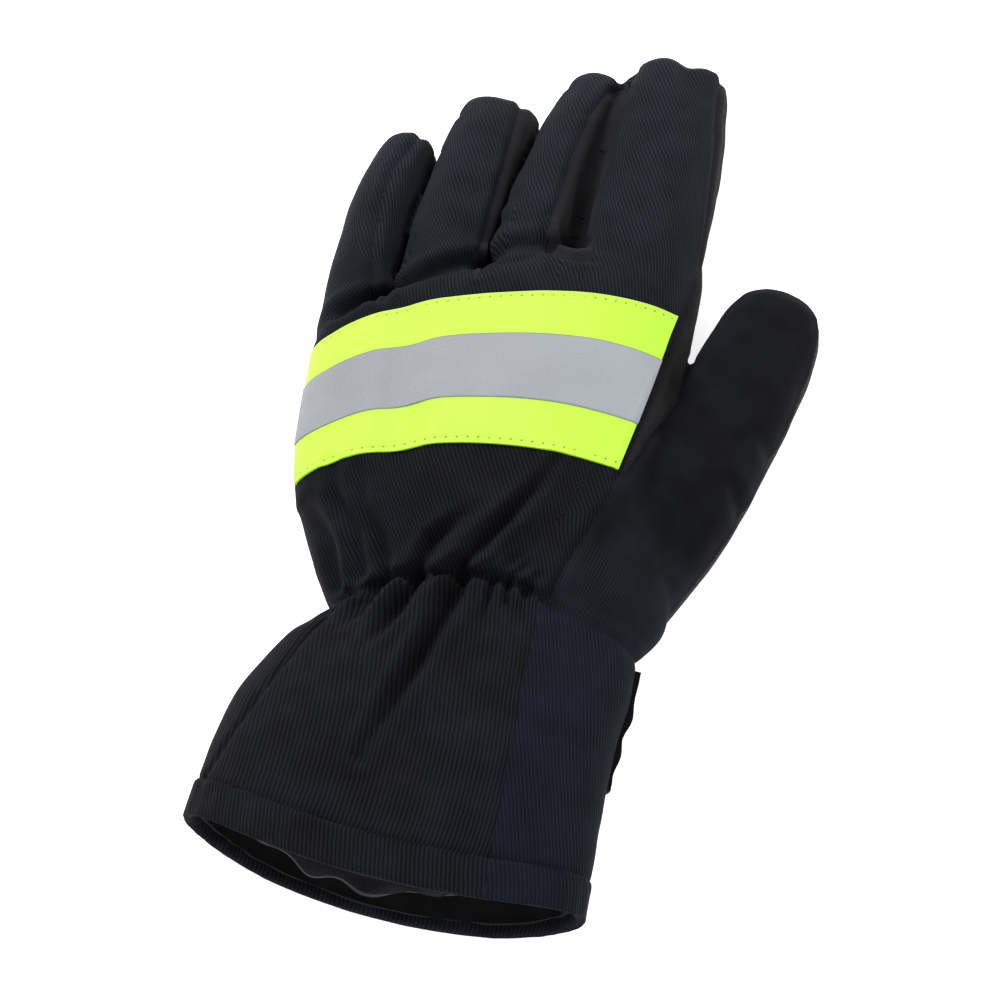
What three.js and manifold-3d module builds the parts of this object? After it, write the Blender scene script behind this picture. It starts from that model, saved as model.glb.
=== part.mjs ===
// A firefighter glove for the left hand, lying palm down.
// Millimetres. +X is the thumb side, +Y runs from the cuff to the fingertips, +Z is up.
// While it is worked out, Y = 0 is the wrist seam and Z = 0 is the surface that the glove lies on.
import * as THREE from 'three';
import { mergeVertices } from 'three/addons/utils/BufferGeometryUtils.js';
import Module from 'manifold-3d';

const wasm = await Module();
wasm.setup();

// Driving dimensions
const HAND_LENGTH = 132; // wrist seam to the crotch of middle and index finger
const HAND_WIDTH = 118; // across the knuckles
const HAND_HEIGHT = 44; // the padded back above the surface
const CUFF_LENGTH = 83; // wrist seam to the cuff's edge, at its sides
const CUFF_WIDTH = 125; // across the mouth
const CUFF_HEIGHT = 46; // the back of the cuff above the surface
const WALL = 2.6; // shell cloth, barrier and padding together
const CLEARANCE = 0.3; // between pieces that are sewn to each other
const SEAM_HEIGHT = 13; // the seam between palm and back above the surface
const SLIT = 1; // open width between two fingers that lie side by side
const FLATTENING = 3; // how far the round underside is pressed flat by lying
const TAPE_THICKNESS = 0.8;
const SILVER_THICKNESS = 0.5;
const SILVER_SHARE = 0.4; // of the tape's width
const HEM_WIDTH = 12;
const HEM_RISE = 1; // how far the turned hem stands proud of the cuff
const LINING_THICKNESS = 1.2;
const LINING_LENGTH = 66;
const LINING_WAVE = 0.8; // height of the wrinkles in the loose lining
const LINING_SLACK = 4.5; // how far the lining hangs away from the cuff deep inside
const STRAP_WIDTH = 36;
const STRAP_THICKNESS = 2.2;
const GATHER_DEPTH = 1.3; // puckers made by the elastic at the wrist
const GATHER_REACH = 13; // how far they run each way from the wrist seam
const GATHERS = 14; // once round the wrist

// How finely the cloth is divided
const RING_ABOVE = 32; // steps over the back of the hand or the cuff
const RING_BELOW = 8; // steps round its flattened underside
const SHOULDER_ANGLE = 0.25; // how far the finer steps reach down each side
const FINGER_RING = 12; // steps once round a finger
const ROUNDNESS = 2.3; // power of the rounded sections
const MIDDLE_SHARE = 0.42; // height of a section's widest line

// Sections of the hand, from below the wrist seam to the knuckles. A section is a slanted line
// across the hand: leftY and rightY are shares of HAND_LENGTH, left and right shares of
// HAND_WIDTH, top and under shares of HAND_HEIGHT, and bow is how far the middle of the line lies
// behind its ends, as a share of HAND_LENGTH: here the middle runs ahead, towards the fingers.
const HAND_SECTIONS = [
  { name: 'below wrist', leftY: -0.053, rightY: -0.002, left: -0.373, right: 0.477, top: 0.85, under: 0.07, bow: -0.046 },
  { name: 'wrist', leftY: -0.023, rightY: 0.03, left: -0.373, right: 0.475, top: 0.84, under: 0.07, bow: -0.046 },
  { name: 'heel', leftY: 0.06, rightY: 0.12, left: -0.43, right: 0.52, top: 0.92, under: 0.02, bow: -0.054 },
  { name: 'thumb root', leftY: 0.15, rightY: 0.27, left: -0.49, right: 0.5, top: 0.98, under: 0, bow: -0.06 },
  { name: 'tape bottom', leftY: 0.235, rightY: 0.42, left: -0.545, right: 0.45, top: 1, under: 0, bow: -0.066 },
  { name: 'tape middle', leftY: 0.41, rightY: 0.66, left: -0.592, right: 0.405, top: 1, under: 0, bow: -0.064 },
  { name: 'tape top', leftY: 0.591, rightY: 0.902, left: -0.618, right: 0.39, top: 0.98, under: 0, bow: -0.06 },
  { name: 'knuckles', leftY: 0.635, rightY: 1.05, left: -0.622, right: 0.388, top: 0.93, under: 0, bow: -0.045 },
  { name: 'hand end', leftY: 0.665, rightY: 1.15, left: -0.608, right: 0.373, top: 0.74, under: 0.06, bow: -0.03 },
];

// Sections of the cuff, from the wrist seam to the mouth: along and bow are shares of CUFF_LENGTH,
// left and right are shares of CUFF_WIDTH, and top and under are shares of CUFF_HEIGHT.
const CUFF_SECTIONS = [
  { name: 'flare', along: 0.15, left: -0.388, right: 0.455, top: 0.89, under: 0.068, bow: 0.01 },
  { name: 'upper cuff', along: 0.3, left: -0.44, right: 0.45, top: 0.96, under: 0.068, bow: 0.03 },
  { name: 'middle cuff', along: 0.48, left: -0.488, right: 0.452, top: 1, under: 0.068, bow: 0.06 },
  { name: 'lower cuff', along: 0.66, left: -0.508, right: 0.46, top: 1, under: 0.03, bow: 0.09 },
  { name: 'above hem', along: 0.85, left: -0.518, right: 0.472, top: 0.98, under: 0.022, bow: 0.11 },
  { name: 'mouth', along: 1, left: -0.52, right: 0.48, top: 0.97, under: 0.022, bow: 0.12 },
];

// Fingers and thumb. Each follows a curve from its root inside the hand past the pull of its bend
// to its tip. Places across and width are shares of HAND_WIDTH, rootY and tipY are shares of
// HAND_LENGTH, and tall, how high its back lies, is a share of HAND_HEIGHT.
const FINGERS = [
  { name: 'little', rootX: -0.46, bendX: -0.59, tipX: -0.56, rootY: 0.46, tipY: 1.311, width: 0.203, tall: 0.705 },
  { name: 'ring', rootX: -0.314, bendX: -0.356, tipX: -0.335, rootY: 0.6, tipY: 1.477, width: 0.254, tall: 0.795 },
  { name: 'middle', rootX: -0.093, bendX: -0.165, tipX: -0.055, rootY: 0.68, tipY: 1.598, width: 0.237, tall: 0.841 },
  { name: 'index', rootX: 0.18, bendX: 0.182, tipX: 0.14, rootY: 0.62, tipY: 1.689, width: 0.381, tall: 0.852 },
  { name: 'thumb', rootX: 0.288, bendX: 0.525, tipX: 0.602, rootY: 0.02, tipY: 1.106, width: 0.331, tall: 0.705 },
];
const BEND_SHARE = 0.45; // where along a finger its bend pulls

// How a finger narrows towards its root, which lies inside the hand, and closes at its tip: a
// share of its length, and there its width, top and underside as shares of width and tall
const FINGER_PROFILE = [
  { along: 0, width: 0.76, top: 0.86, under: 0.08 },
  { along: 0.2, width: 0.95, top: 0.96, under: 0.02 },
  { along: 0.45, width: 1.01, top: 1, under: 0 },
  { along: 0.7, width: 0.98, top: 0.93, under: 0 },
  { along: 0.84, width: 0.93, top: 0.84, under: 0 },
  { along: 0.92, width: 0.84, top: 0.76, under: 0 },
  { along: 0.97, width: 0.68, top: 0.67, under: 0.04 },
  { along: 1, width: 0.4, top: 0.55, under: 0.12 },
];

// Neighbouring fingers are slit apart from the crotch outwards: a share of HAND_LENGTH
const CROTCHES = { littleRing: 0.765, ringMiddle: 0.885, middleIndex: 0.99 };
const CROTCH_WEB = 5; // how far a fourchette reaches below its crotch

// Seams on the back of the fingers and the hand, as shares of HAND_WIDTH and HAND_LENGTH
const SEAMS = {
  littleRight: [[-0.482, 0.73], [-0.52, 0.9], [-0.548, 1.06], [-0.562, 1.24], [-0.562, 1.5]],
  ringRight: [[-0.25, 0.86], [-0.263, 1.02], [-0.274, 1.23], [-0.29, 1.41], [-0.33, 1.6]],
  middleRight: [[-0.042, 0.945], [-0.055, 1.1], [-0.064, 1.3], [-0.064, 1.45], [-0.04, 1.57], [-0.03, 1.8]],
  indexLeft: [[0.076, 0.945], [0.05, 1.15], [0.038, 1.32], [0.045, 1.55], [0.075, 1.8]],
  indexRight: [[0.25, 1.8], [0.27, 1.58], [0.3, 1.42], [0.322, 1.25], [0.345, 1.06], [0.352, 0.91]],
  tapeEnd: [[0.33, 0.65], [0.305, 0.4]],
  thumbRoot: [[0.27, 0.26], [0.205, 0.06], [0.2, -0.2]],
  thumbValley: [[0.43, 0.42], [0.395, 0.6], [0.395, 0.79]],
  thumbCrotch: [[0.399, 0.85], [0.43, 0.95], [0.47, 1.2]],
  thumbPalm: [[0.395, 0.79], [0.37, 0.6], [0.28, 0.3], [0.24, -0.2]],
  besideIndex: [[0.6, 1.5], [0.6, 1.8]],
  besideThumb: [[1.2, -0.2], [1.2, 1.5], [0.5, 1.5]],
};
const HIDDEN_SEAM_RISE = 8; // how far a finger's far seam lies above the palm seam
const OUTSIDE = 1.2; // a share of the hand past every outline

// Folds pressed into the cloth: from and to are places on the back of the glove, as shares of
// HAND_WIDTH and HAND_LENGTH, depth is a share of WALL and width a share of HAND_WIDTH
const FOLDS = [
  { name: 'wrist crease by the little finger', from: [-0.29, 0.15], to: [-0.23, 0.02], depth: 1, width: 0.03 },
  { name: 'wrist crease in the middle', from: [-0.15, 0.06], to: [-0.05, 0.24], depth: 1.08, width: 0.034 },
  { name: 'wrist crease towards the thumb', from: [0.01, 0.1], to: [0.16, 0.34], depth: 1.08, width: 0.038 },
  { name: 'dip in the tape', from: [-0.35, 0.27], to: [-0.28, 0.52], depth: 0.69, width: 0.068 },
  { name: 'long cuff fold', from: [-0.05, -0.02], to: [-0.08, -0.36], depth: 1.38, width: 0.042 },
  { name: 'short cuff fold', from: [-0.15, -0.04], to: [-0.17, -0.16], depth: 0.92, width: 0.034 },
];

// Seams along the cuff: shares of CUFF_WIDTH at the wrist and at the mouth
const CUFF_SEAMS = {
  left: { wrist: -0.21, mouth: -0.44 },
  right: { wrist: 0.185, mouth: 0.25 },
};
const SIDE_SEAM_ANGLE = -0.55; // radians below the widest line, where cuff side and palm meet
const STRAP_SHARE = { start: 0.05, right: 0.02, left: -2.6 }; // place along the cuff, angles round it

// Where the tape lies on the back of the hand: rows of HAND_SECTIONS, and steps round it
const TAPE_ROWS = { bottom: 4, top: 6 };
const TAPE_RING = { start: 5, end: 30 };
const TAPE_END = [[0.283, 0.3], [0.346, 1]]; // its cut end, as shares of HAND_WIDTH and HAND_LENGTH

// Colours of the finishes
const FINISHES = {
  charcoal: { color: 0x1f2023, roughness: 0.92, metalness: 0 },
  black: { color: 0x131316, roughness: 0.95, metalness: 0 },
  navy: { color: 0x1b2133, roughness: 0.9, metalness: 0 },
  lime: { color: 0xdfff55, roughness: 0.55, metalness: 0 },
  silver: { color: 0xafb4be, roughness: 0.35, metalness: 0.3 },
};

const lerp = (a, b, share) => a + (b - a) * share;
const signedPower = (value, power) => Math.sign(value) * Math.abs(value) ** power;
const onHand = ([x, y]) => [x * HAND_WIDTH, y * HAND_LENGTH];

// A smooth value between table rows: the curve runs through each row
function through(rows, column, place) {
  const index = Math.min(Math.floor(place), rows.length - 2);
  const t = place - index;
  const at = (step) => rows[Math.max(0, Math.min(rows.length - 1, index + step))][column];
  const slopeStart = (at(1) - at(-1)) / 2;
  const slopeEnd = (at(2) - at(0)) / 2;
  const rise = at(1) - at(0);
  return at(0) + slopeStart * t + (3 * rise - 2 * slopeStart - slopeEnd) * t * t
    + (slopeStart + slopeEnd - 2 * rise) * t * t * t;
}

const handRows = HAND_SECTIONS.map((row) => ({
  leftY: row.leftY * HAND_LENGTH,
  rightY: row.rightY * HAND_LENGTH,
  left: row.left * HAND_WIDTH,
  right: row.right * HAND_WIDTH,
  top: row.top * HAND_HEIGHT,
  under: row.under * HAND_HEIGHT,
  bow: row.bow * HAND_LENGTH,
}));
const WRIST = 1; // the wrist's row in HAND_SECTIONS
const cuffRows = [handRows[WRIST], ...CUFF_SECTIONS.map((row) => ({
  leftY: -row.along * CUFF_LENGTH,
  rightY: -row.along * CUFF_LENGTH,
  left: row.left * CUFF_WIDTH,
  right: row.right * CUFF_WIDTH,
  top: row.top * CUFF_HEIGHT,
  under: row.under * CUFF_HEIGHT,
  bow: row.bow * CUFF_LENGTH,
}))];

function section(rows, place) {
  const row = {};
  for (const column of Object.keys(rows[0])) row[column] = through(rows, column, place);
  row.under = Math.max(row.under, 0);
  return row;
}

// A row's Y place where it passes an X place
function rowY(row, x) {
  const share = THREE.MathUtils.clamp((x - row.left) / (row.right - row.left), 0, 1);
  return lerp(row.leftY, row.rightY, share) - row.bow * 4 * share * (1 - share);
}

function distanceToLine(x, y, [ax, ay], [bx, by]) {
  const along = ((x - ax) * (bx - ax) + (y - ay) * (by - ay)) / ((bx - ax) ** 2 + (by - ay) ** 2);
  const share = Math.max(0, Math.min(1, along));
  return Math.hypot(x - lerp(ax, bx, share), y - lerp(ay, by, share));
}

// How far folds and wrist gathers press the cloth in at a place on the back
function pressedIn(x, y, angle) {
  const upper = THREE.MathUtils.smoothstep(Math.sin(angle), -0.2, 0.25);
  let depth = 0;
  for (const fold of FOLDS) {
    const away = distanceToLine(x, y, onHand(fold.from), onHand(fold.to));
    depth += fold.depth * WALL * Math.exp(-((away / (fold.width * HAND_WIDTH)) ** 2));
  }
  const gathered = Math.exp(-(((y - rowY(handRows[WRIST], x)) / GATHER_REACH) ** 2));
  depth += GATHER_DEPTH * gathered * (1 - Math.cos(GATHERS * angle)) / 2;
  return depth * upper;
}

const noFolds = () => 0;

// A place on the hand or the cuff: angle 0 is the thumb side, a quarter turn is the top, and out is
// how far the place lies outside the cloth's outer face
function clothPoint(rows, place, angle, out, dents = pressedIn) {
  const row = section(rows, place);
  const middleX = (row.left + row.right) / 2;
  const halfWidth = (row.right - row.left) / 2;
  const middleZ = lerp(row.under, row.top, MIDDLE_SHARE);
  const across = signedPower(Math.cos(angle), 2 / ROUNDNESS);
  const up = signedPower(Math.sin(angle), 2 / ROUNDNESS);
  const share = (across + 1) / 2;
  const y = lerp(row.leftY, row.rightY, share) - row.bow * 4 * share * (1 - share);
  const offset = out - dents(middleX + halfWidth * across, y, angle);
  const halfHeight = up > 0 ? row.top - middleZ : middleZ - row.under + FLATTENING;
  const z = middleZ + (halfHeight + offset) * up;
  return new THREE.Vector3(middleX + (halfWidth + offset) * across, y, Math.max(z, row.under - out));
}

// The angle at which a section's top passes over an X place
function angleAbove(rows, place, x) {
  const row = section(rows, place);
  const share = (x - (row.left + row.right) / 2) / ((row.right - row.left) / 2);
  return Math.acos(signedPower(THREE.MathUtils.clamp(share, -1, 1), ROUNDNESS / 2));
}

function meshFrom(points, triangles) {
  const geometry = new THREE.BufferGeometry();
  geometry.setAttribute('position', new THREE.Float32BufferAttribute(points.flatMap((p) => p.toArray()), 3));
  geometry.setIndex(triangles.flat());
  return geometry;
}

function toManifold(geometry) {
  const bare = geometry.clone();
  bare.deleteAttribute('normal');
  bare.deleteAttribute('uv');
  const merged = mergeVertices(bare, 1e-4);
  return new wasm.Manifold(new wasm.Mesh({
    numProp: 3,
    vertProperties: new Float32Array(merged.attributes.position.array),
    triVerts: new Uint32Array(merged.index.array),
  }));
}

function toGeometry(manifold) {
  const mesh = manifold.getMesh();
  const geometry = new THREE.BufferGeometry();
  geometry.setAttribute('position', new THREE.Float32BufferAttribute(mesh.vertProperties, 3));
  geometry.setIndex(new THREE.BufferAttribute(mesh.triVerts, 1));
  return geometry;
}

function solidFacingOut(points, triangles) {
  const solid = toManifold(meshFrom(points, triangles));
  return solid.volume() > 0 ? solid : toManifold(meshFrom(points, triangles.map(([a, b, c]) => [a, c, b])));
}

// Of what a cut leaves, the panel itself and not the crumbs
function largestBody(manifold) {
  return manifold.decompose().reduce((best, body) => (body.volume() > best.volume() ? body : best));
}

// A closed solid through rings of points: its ends are capped, or the last ring joins the first
function loft(rings, joined = false) {
  const steps = rings[0].length;
  const points = rings.flat();
  const triangles = [];
  for (let i = 0; i < (joined ? rings.length : rings.length - 1); i += 1) {
    const start = i * steps;
    const next = (i + 1) % rings.length * steps;
    for (let j = 0; j < steps; j += 1) {
      const k = (j + 1) % steps;
      triangles.push([start + j, next + k, start + k], [start + j, next + j, next + k]);
    }
  }
  for (const [start, turned] of joined ? [] : [[0, false], [(rings.length - 1) * steps, true]]) {
    const centre = new THREE.Vector3();
    for (let j = 0; j < steps; j += 1) centre.addScaledVector(points[start + j], 1 / steps);
    const hub = points.push(centre) - 1;
    for (let j = 0; j < steps; j += 1) {
      const a = start + j;
      const b = start + (j + 1) % steps;
      triangles.push(turned ? [hub, b, a] : [hub, a, b]);
    }
  }
  return solidFacingOut(points, triangles);
}

// A piece of cloth between two faces: pointAt(i, j, side) gives a place on face 0 or 1
function clothPatch(rowCount, columnCount, pointAt) {
  const points = [];
  const index = (i, j, side) => (side * rowCount + i) * columnCount + j;
  for (const side of [0, 1]) {
    for (let i = 0; i < rowCount; i += 1) {
      for (let j = 0; j < columnCount; j += 1) points.push(pointAt(i, j, side));
    }
  }
  const triangles = [];
  const quad = (a, b, c, d) => triangles.push([a, b, c], [a, c, d]);
  for (let i = 0; i + 1 < rowCount; i += 1) {
    for (let j = 0; j + 1 < columnCount; j += 1) {
      quad(index(i, j, 0), index(i, j + 1, 0), index(i + 1, j + 1, 0), index(i + 1, j, 0));
      quad(index(i, j, 1), index(i + 1, j, 1), index(i + 1, j + 1, 1), index(i, j + 1, 1));
    }
  }
  const lastRow = rowCount - 1;
  const lastColumn = columnCount - 1;
  for (let j = 0; j < lastColumn; j += 1) {
    quad(index(0, j, 0), index(0, j, 1), index(0, j + 1, 1), index(0, j + 1, 0));
    quad(index(lastRow, j, 0), index(lastRow, j + 1, 0), index(lastRow, j + 1, 1), index(lastRow, j, 1));
  }
  for (let i = 0; i < lastRow; i += 1) {
    quad(index(i, 0, 0), index(i + 1, 0, 0), index(i + 1, 0, 1), index(i, 0, 1));
    quad(index(i, lastColumn, 0), index(i, lastColumn, 1), index(i + 1, lastColumn, 1), index(i + 1, lastColumn, 0));
  }
  return solidFacingOut(points, triangles);
}

// An upright column over an outline, between two heights
function column(outline, low, high) {
  const shape = new THREE.Shape(outline.map(([x, y]) => new THREE.Vector2(x, y)));
  const geometry = new THREE.ExtrudeGeometry(shape, { depth: high - low, bevelEnabled: false });
  geometry.translate(0, 0, low);
  return toManifold(geometry);
}

// The same outline moved outwards by a distance
function grown(outline, distance) {
  const turn = Math.sign(THREE.ShapeUtils.area(outline.map(([x, y]) => new THREE.Vector2(x, y))));
  return outline.map((point, i) => {
    const before = outline[(i + outline.length - 1) % outline.length];
    const after = outline[(i + 1) % outline.length];
    const inward = new THREE.Vector2(point[0] - before[0], point[1] - before[1]).normalize();
    const outward = new THREE.Vector2(after[0] - point[0], after[1] - point[1]).normalize();
    const normal = new THREE.Vector2(inward.y + outward.y, -inward.x - outward.x);
    const scale = 2 / normal.lengthSq();
    return [point[0] + turn * normal.x * scale * distance, point[1] + turn * normal.y * scale * distance];
  });
}

const SLIT_STEPS = 5;
const SEAM_STEPS = 12;
const SKY = 2 * HAND_HEIGHT;
const GROUND = -HAND_HEIGHT;
const FAR = OUTSIDE * (HAND_LENGTH + HAND_WIDTH);

// The angles of the points round a section, finer over the back than below
const OVER = Math.PI + 2 * SHOULDER_ANGLE;
const RING_ANGLES = [];
for (let j = 0; j < RING_ABOVE; j += 1) RING_ANGLES.push(-SHOULDER_ANGLE + OVER * j / RING_ABOVE);
for (let j = 0; j < RING_BELOW; j += 1) {
  RING_ANGLES.push(Math.PI + SHOULDER_ANGLE + (2 * Math.PI - OVER) * j / RING_BELOW);
}

// Shares of the tape's width at which it and the cloth below it have a row of points
const SILVER_LOW = (1 - SILVER_SHARE) / 2;
const SILVER_HIGH = (1 + SILVER_SHARE) / 2;
const TAPE_SHARES = [0, SILVER_LOW, SILVER_HIGH, 1];
const tapePlace = (share) => lerp(TAPE_ROWS.bottom, TAPE_ROWS.top, share);

// The hand, its fingers and its thumb as one closed form, moved inwards by inset
const HAND_PLACES = [0, 1, 1.5, 2, 3, ...TAPE_SHARES.map(tapePlace), 7, 8];
function handForm(inset) {
  const last = handRows.length - 1;
  return loft(HAND_PLACES.map((place) => RING_ANGLES.map((angle) => {
    const point = clothPoint(handRows, place, angle, -inset);
    point.y -= inset * place / last;
    return point;
  })));
}

const fingers = FINGERS.map((row) => ({
  root: new THREE.Vector2(row.rootX * HAND_WIDTH, row.rootY * HAND_LENGTH),
  tip: new THREE.Vector2(row.tipX * HAND_WIDTH, row.tipY * HAND_LENGTH),
  bendX: row.bendX * HAND_WIDTH,
  width: row.width * HAND_WIDTH,
  tall: row.tall * HAND_HEIGHT,
}));
function fingerPath(finger, inset) {
  const root = new THREE.Vector2(finger.root.x, finger.root.y + inset);
  const tip = new THREE.Vector2(finger.tip.x, finger.tip.y - inset);
  const bend = new THREE.Vector2(finger.bendX, lerp(root.y, tip.y, BEND_SHARE));
  return new THREE.QuadraticBezierCurve(root, bend, tip);
}

// The X place of a finger's side, +1 towards the thumb, where the finger passes a Y place
function fingerSide(finger, y, side) {
  const path = fingerPath(finger, 0);
  let along = 0;
  while (along < 1 && path.getPoint(along).y < y) along = Math.min(1, along + 0.01);
  const next = Math.max(1, FINGER_PROFILE.findIndex((profile) => profile.along >= along));
  const [before, after] = [FINGER_PROFILE[next - 1], FINGER_PROFILE[next]];
  const share = (along - before.along) / (after.along - before.along);
  return path.getPoint(along).x + side * finger.width / 2 * lerp(before.width, after.width, share);
}

function fingerForm(finger, inset) {
  const path = fingerPath(finger, inset);
  return loft(FINGER_PROFILE.map((profile) => {
    const centre = path.getPoint(profile.along);
    const heading = path.getTangent(profile.along);
    const halfWidth = finger.width * profile.width / 2 - inset;
    const top = finger.tall * profile.top;
    const under = finger.tall * profile.under;
    const middleZ = lerp(under, top, MIDDLE_SHARE);
    const ring = [];
    for (let j = 0; j < FINGER_RING; j += 1) {
      const angle = 2 * Math.PI * (j + 0.5) / FINGER_RING;
      const across = halfWidth * signedPower(Math.cos(angle), 2 / ROUNDNESS);
      const up = signedPower(Math.sin(angle), 2 / ROUNDNESS);
      const halfHeight = up > 0 ? top - middleZ : middleZ - under + FLATTENING;
      const z = Math.max(middleZ + (halfHeight - inset) * up, under + inset);
      ring.push(new THREE.Vector3(centre.x + heading.y * across, centre.y - heading.x * across, z));
    }
    return ring;
  }));
}

function gloveForm(inset) {
  let form = handForm(inset);
  for (const finger of fingers) form = form.add(fingerForm(finger, inset));
  return form;
}

// The line halfway between two neighbours, from their crotch to the tip of the shorter one
function slitLine(first, second, crotch) {
  const start = crotch * HAND_LENGTH;
  const end = Math.min(first.tip.y, second.tip.y);
  const line = [];
  for (let i = 0; i <= SLIT_STEPS; i += 1) {
    const y = lerp(start, end, i / SLIT_STEPS);
    line.push([(fingerSide(first, y, 1) + fingerSide(second, y, -1)) / 2, y]);
  }
  line.push([line.at(-1)[0], end + CROTCH_WEB]);
  return line;
}

// An upright cutter along a line, reaching to each side of it and as far below its crotch
function slitCutter(places, reach, below) {
  const [[x, y]] = places;
  const line = [[x, y - below], ...places];
  const edge = (side) => line.map((place) => [place[0] + side * reach, place[1]]);
  return column([...edge(1), ...edge(-1).reverse()], GROUND, SKY);
}
const [little, ring, middleFinger, index] = fingers;
const slits = {
  littleRing: slitLine(little, ring, CROTCHES.littleRing),
  ringMiddle: slitLine(ring, middleFinger, CROTCHES.ringMiddle),
  middleIndex: slitLine(middleFinger, index, CROTCHES.middleIndex),
};

// Everything on the finger side of the wrist seam
function aboveWrist() {
  const wrist = handRows[WRIST];
  const places = [-FAR, FAR];
  for (let i = 0; i <= SEAM_STEPS; i += 1) places.splice(-1, 0, lerp(wrist.left, wrist.right, i / SEAM_STEPS));
  const seam = places.map((x) => [x, rowY(wrist, x) + CLEARANCE / 2]);
  return column([...seam, [FAR, FAR], [-FAR, FAR]], GROUND, SKY);
}

// The hollow stays a wall's thickness away from each slit
let hollow = gloveForm(WALL);
for (const line of Object.values(slits)) hollow = hollow.subtract(slitCutter(line, SLIT / 2 + WALL, WALL));
let shell = gloveForm(0).subtract(hollow).intersect(aboveWrist());
for (const line of Object.values(slits)) shell = shell.subtract(slitCutter(line, SLIT / 2, 0));

const everywhere = [[-FAR, -FAR], [FAR, -FAR], [FAR, FAR], [-FAR, FAR]];
const lower = shell.intersect(column(everywhere, GROUND, SEAM_HEIGHT - CLEARANCE / 2));
let upper = shell.intersect(column(everywhere, SEAM_HEIGHT + CLEARANCE / 2, SKY));

// Cuts one panel out of the upper shell and leaves the clearance round it
function takePanel(outlines) {
  let region = null;
  let cutter = null;
  for (const { outline, ceiling } of outlines) {
    const part = column(outline, GROUND, ceiling);
    const wide = column(grown(outline, CLEARANCE), GROUND, ceiling + CLEARANCE);
    region = region ? region.add(part) : part;
    cutter = cutter ? cutter.add(wide) : wide;
  }
  const panel = largestBody(upper.intersect(region));
  upper = upper.subtract(cutter);
  return panel;
}

const seams = Object.fromEntries(Object.entries(SEAMS).map(([name, line]) => [name, line.map(onHand)]));
const reversed = (line) => [...line].reverse();
const hiddenSeam = SEAM_HEIGHT + HIDDEN_SEAM_RISE;
const panels = {};

// A strip between two fingers: on the first one it shows up to its seam, on the second one it
// stays hidden below the finger's widest line
function hiddenFourchette(seam, slit, second) {
  const [crotchX, crotchY] = slit[0];
  const web = [crotchX, crotchY - CROTCH_WEB];
  const shown = [...seam, slit.at(-1), ...reversed(slit), web];
  const inside = second.width / 3;
  const secondMiddle = [1, 0.5, 0].map((share) => {
    const y = lerp(web[1], second.tip.y, share);
    return [fingerSide(second, y, -1) + inside, y];
  });
  const hidden = [[seam[0][0], web[1]], ...slit, ...secondMiddle];
  return takePanel([{ outline: shown, ceiling: SKY }, { outline: hidden, ceiling: hiddenSeam }]);
}
panels.fourchette_little_ring = hiddenFourchette(seams.littleRight, slits.littleRing, ring);
panels.fourchette_ring_middle = hiddenFourchette(seams.ringRight, slits.ringMiddle, middleFinger);
panels.fourchette_middle_index = takePanel([
  { outline: [...seams.middleRight, ...reversed(seams.indexLeft)], ceiling: SKY },
]);
panels.index_side = takePanel([{
  outline: [
    ...seams.indexRight, ...seams.tapeEnd, ...seams.thumbValley, ...seams.thumbCrotch,
    ...seams.besideIndex,
  ],
  ceiling: SKY,
}]);
panels.thumb_back = takePanel([{
  outline: [
    ...seams.tapeEnd.slice(1), ...seams.thumbRoot, ...seams.besideThumb,
    ...reversed(seams.thumbCrotch), ...reversed(seams.thumbValley),
  ],
  ceiling: SKY,
}]);
panels.hand_back = largestBody(upper);

const thumbFront = [...seams.thumbPalm, ...seams.besideThumb, ...reversed(seams.thumbCrotch)];
panels.thumb_palm = largestBody(lower.intersect(column(thumbFront, GROUND, SKY)));
panels.palm = largestBody(lower.subtract(column(grown(thumbFront, CLEARANCE), GROUND, SKY)));

// Tape: a band laid on the back of the hand between two sections, round the little finger side
const tapeSide = column([...TAPE_END, [-OUTSIDE, 1], [-OUTSIDE, 0]].map(onHand), GROUND, SKY);
function tapeBand(low, thickness, shares) {
  const band = clothPatch(shares.length, TAPE_RING.end - TAPE_RING.start + 1, (i, j, side) => {
    const angle = RING_ANGLES[TAPE_RING.start + j];
    return clothPoint(handRows, tapePlace(shares[i]), angle, low + side * thickness);
  });
  return largestBody(band.intersect(tapeSide));
}
const silverShares = TAPE_SHARES.filter((share) => share >= SILVER_LOW && share <= SILVER_HIGH);
panels.tape_yellow = tapeBand(CLEARANCE, TAPE_THICKNESS, TAPE_SHARES);
panels.tape_silver = tapeBand(2 * CLEARANCE + TAPE_THICKNESS, SILVER_THICKNESS, silverShares);

// Cuff: panels between seams that run along it
const cuffLast = cuffRows.length - 1;
const HEM_PLACE = cuffLast - HEM_WIDTH / ((CUFF_SECTIONS.at(-1).along - CUFF_SECTIONS.at(-2).along) * CUFF_LENGTH);
const seamGap = CLEARANCE / HAND_HEIGHT; // the clearance as an angle at the cuff
function cuffSeam(seam, place) {
  const share = place / cuffLast;
  return angleAbove(cuffRows, place, lerp(seam.wrist, seam.mouth, share) * CUFF_WIDTH);
}
const CUFF_PANELS = [
  { name: 'back', from: (p) => cuffSeam(CUFF_SEAMS.right, p), to: (p) => cuffSeam(CUFF_SEAMS.left, p), steps: 20 },
  { name: 'side', from: () => SIDE_SEAM_ANGLE, to: (p) => cuffSeam(CUFF_SEAMS.right, p), steps: 14 },
  { name: 'palm', from: (p) => cuffSeam(CUFF_SEAMS.left, p), to: () => 2 * Math.PI + SIDE_SEAM_ANGLE, steps: 20 },
];
const CUFF_STEPS = 6;
const HEM_STEPS = 2;

function cuffBand(panel, start, end, steps, outer, inner) {
  return clothPatch(steps + 1, panel.steps + 1, (i, j, side) => {
    const place = lerp(start, end, i / steps);
    const angle = lerp(panel.from(place) + seamGap, panel.to(place) - seamGap, j / panel.steps);
    return clothPoint(cuffRows, place, angle, side ? outer : inner);
  });
}

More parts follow.
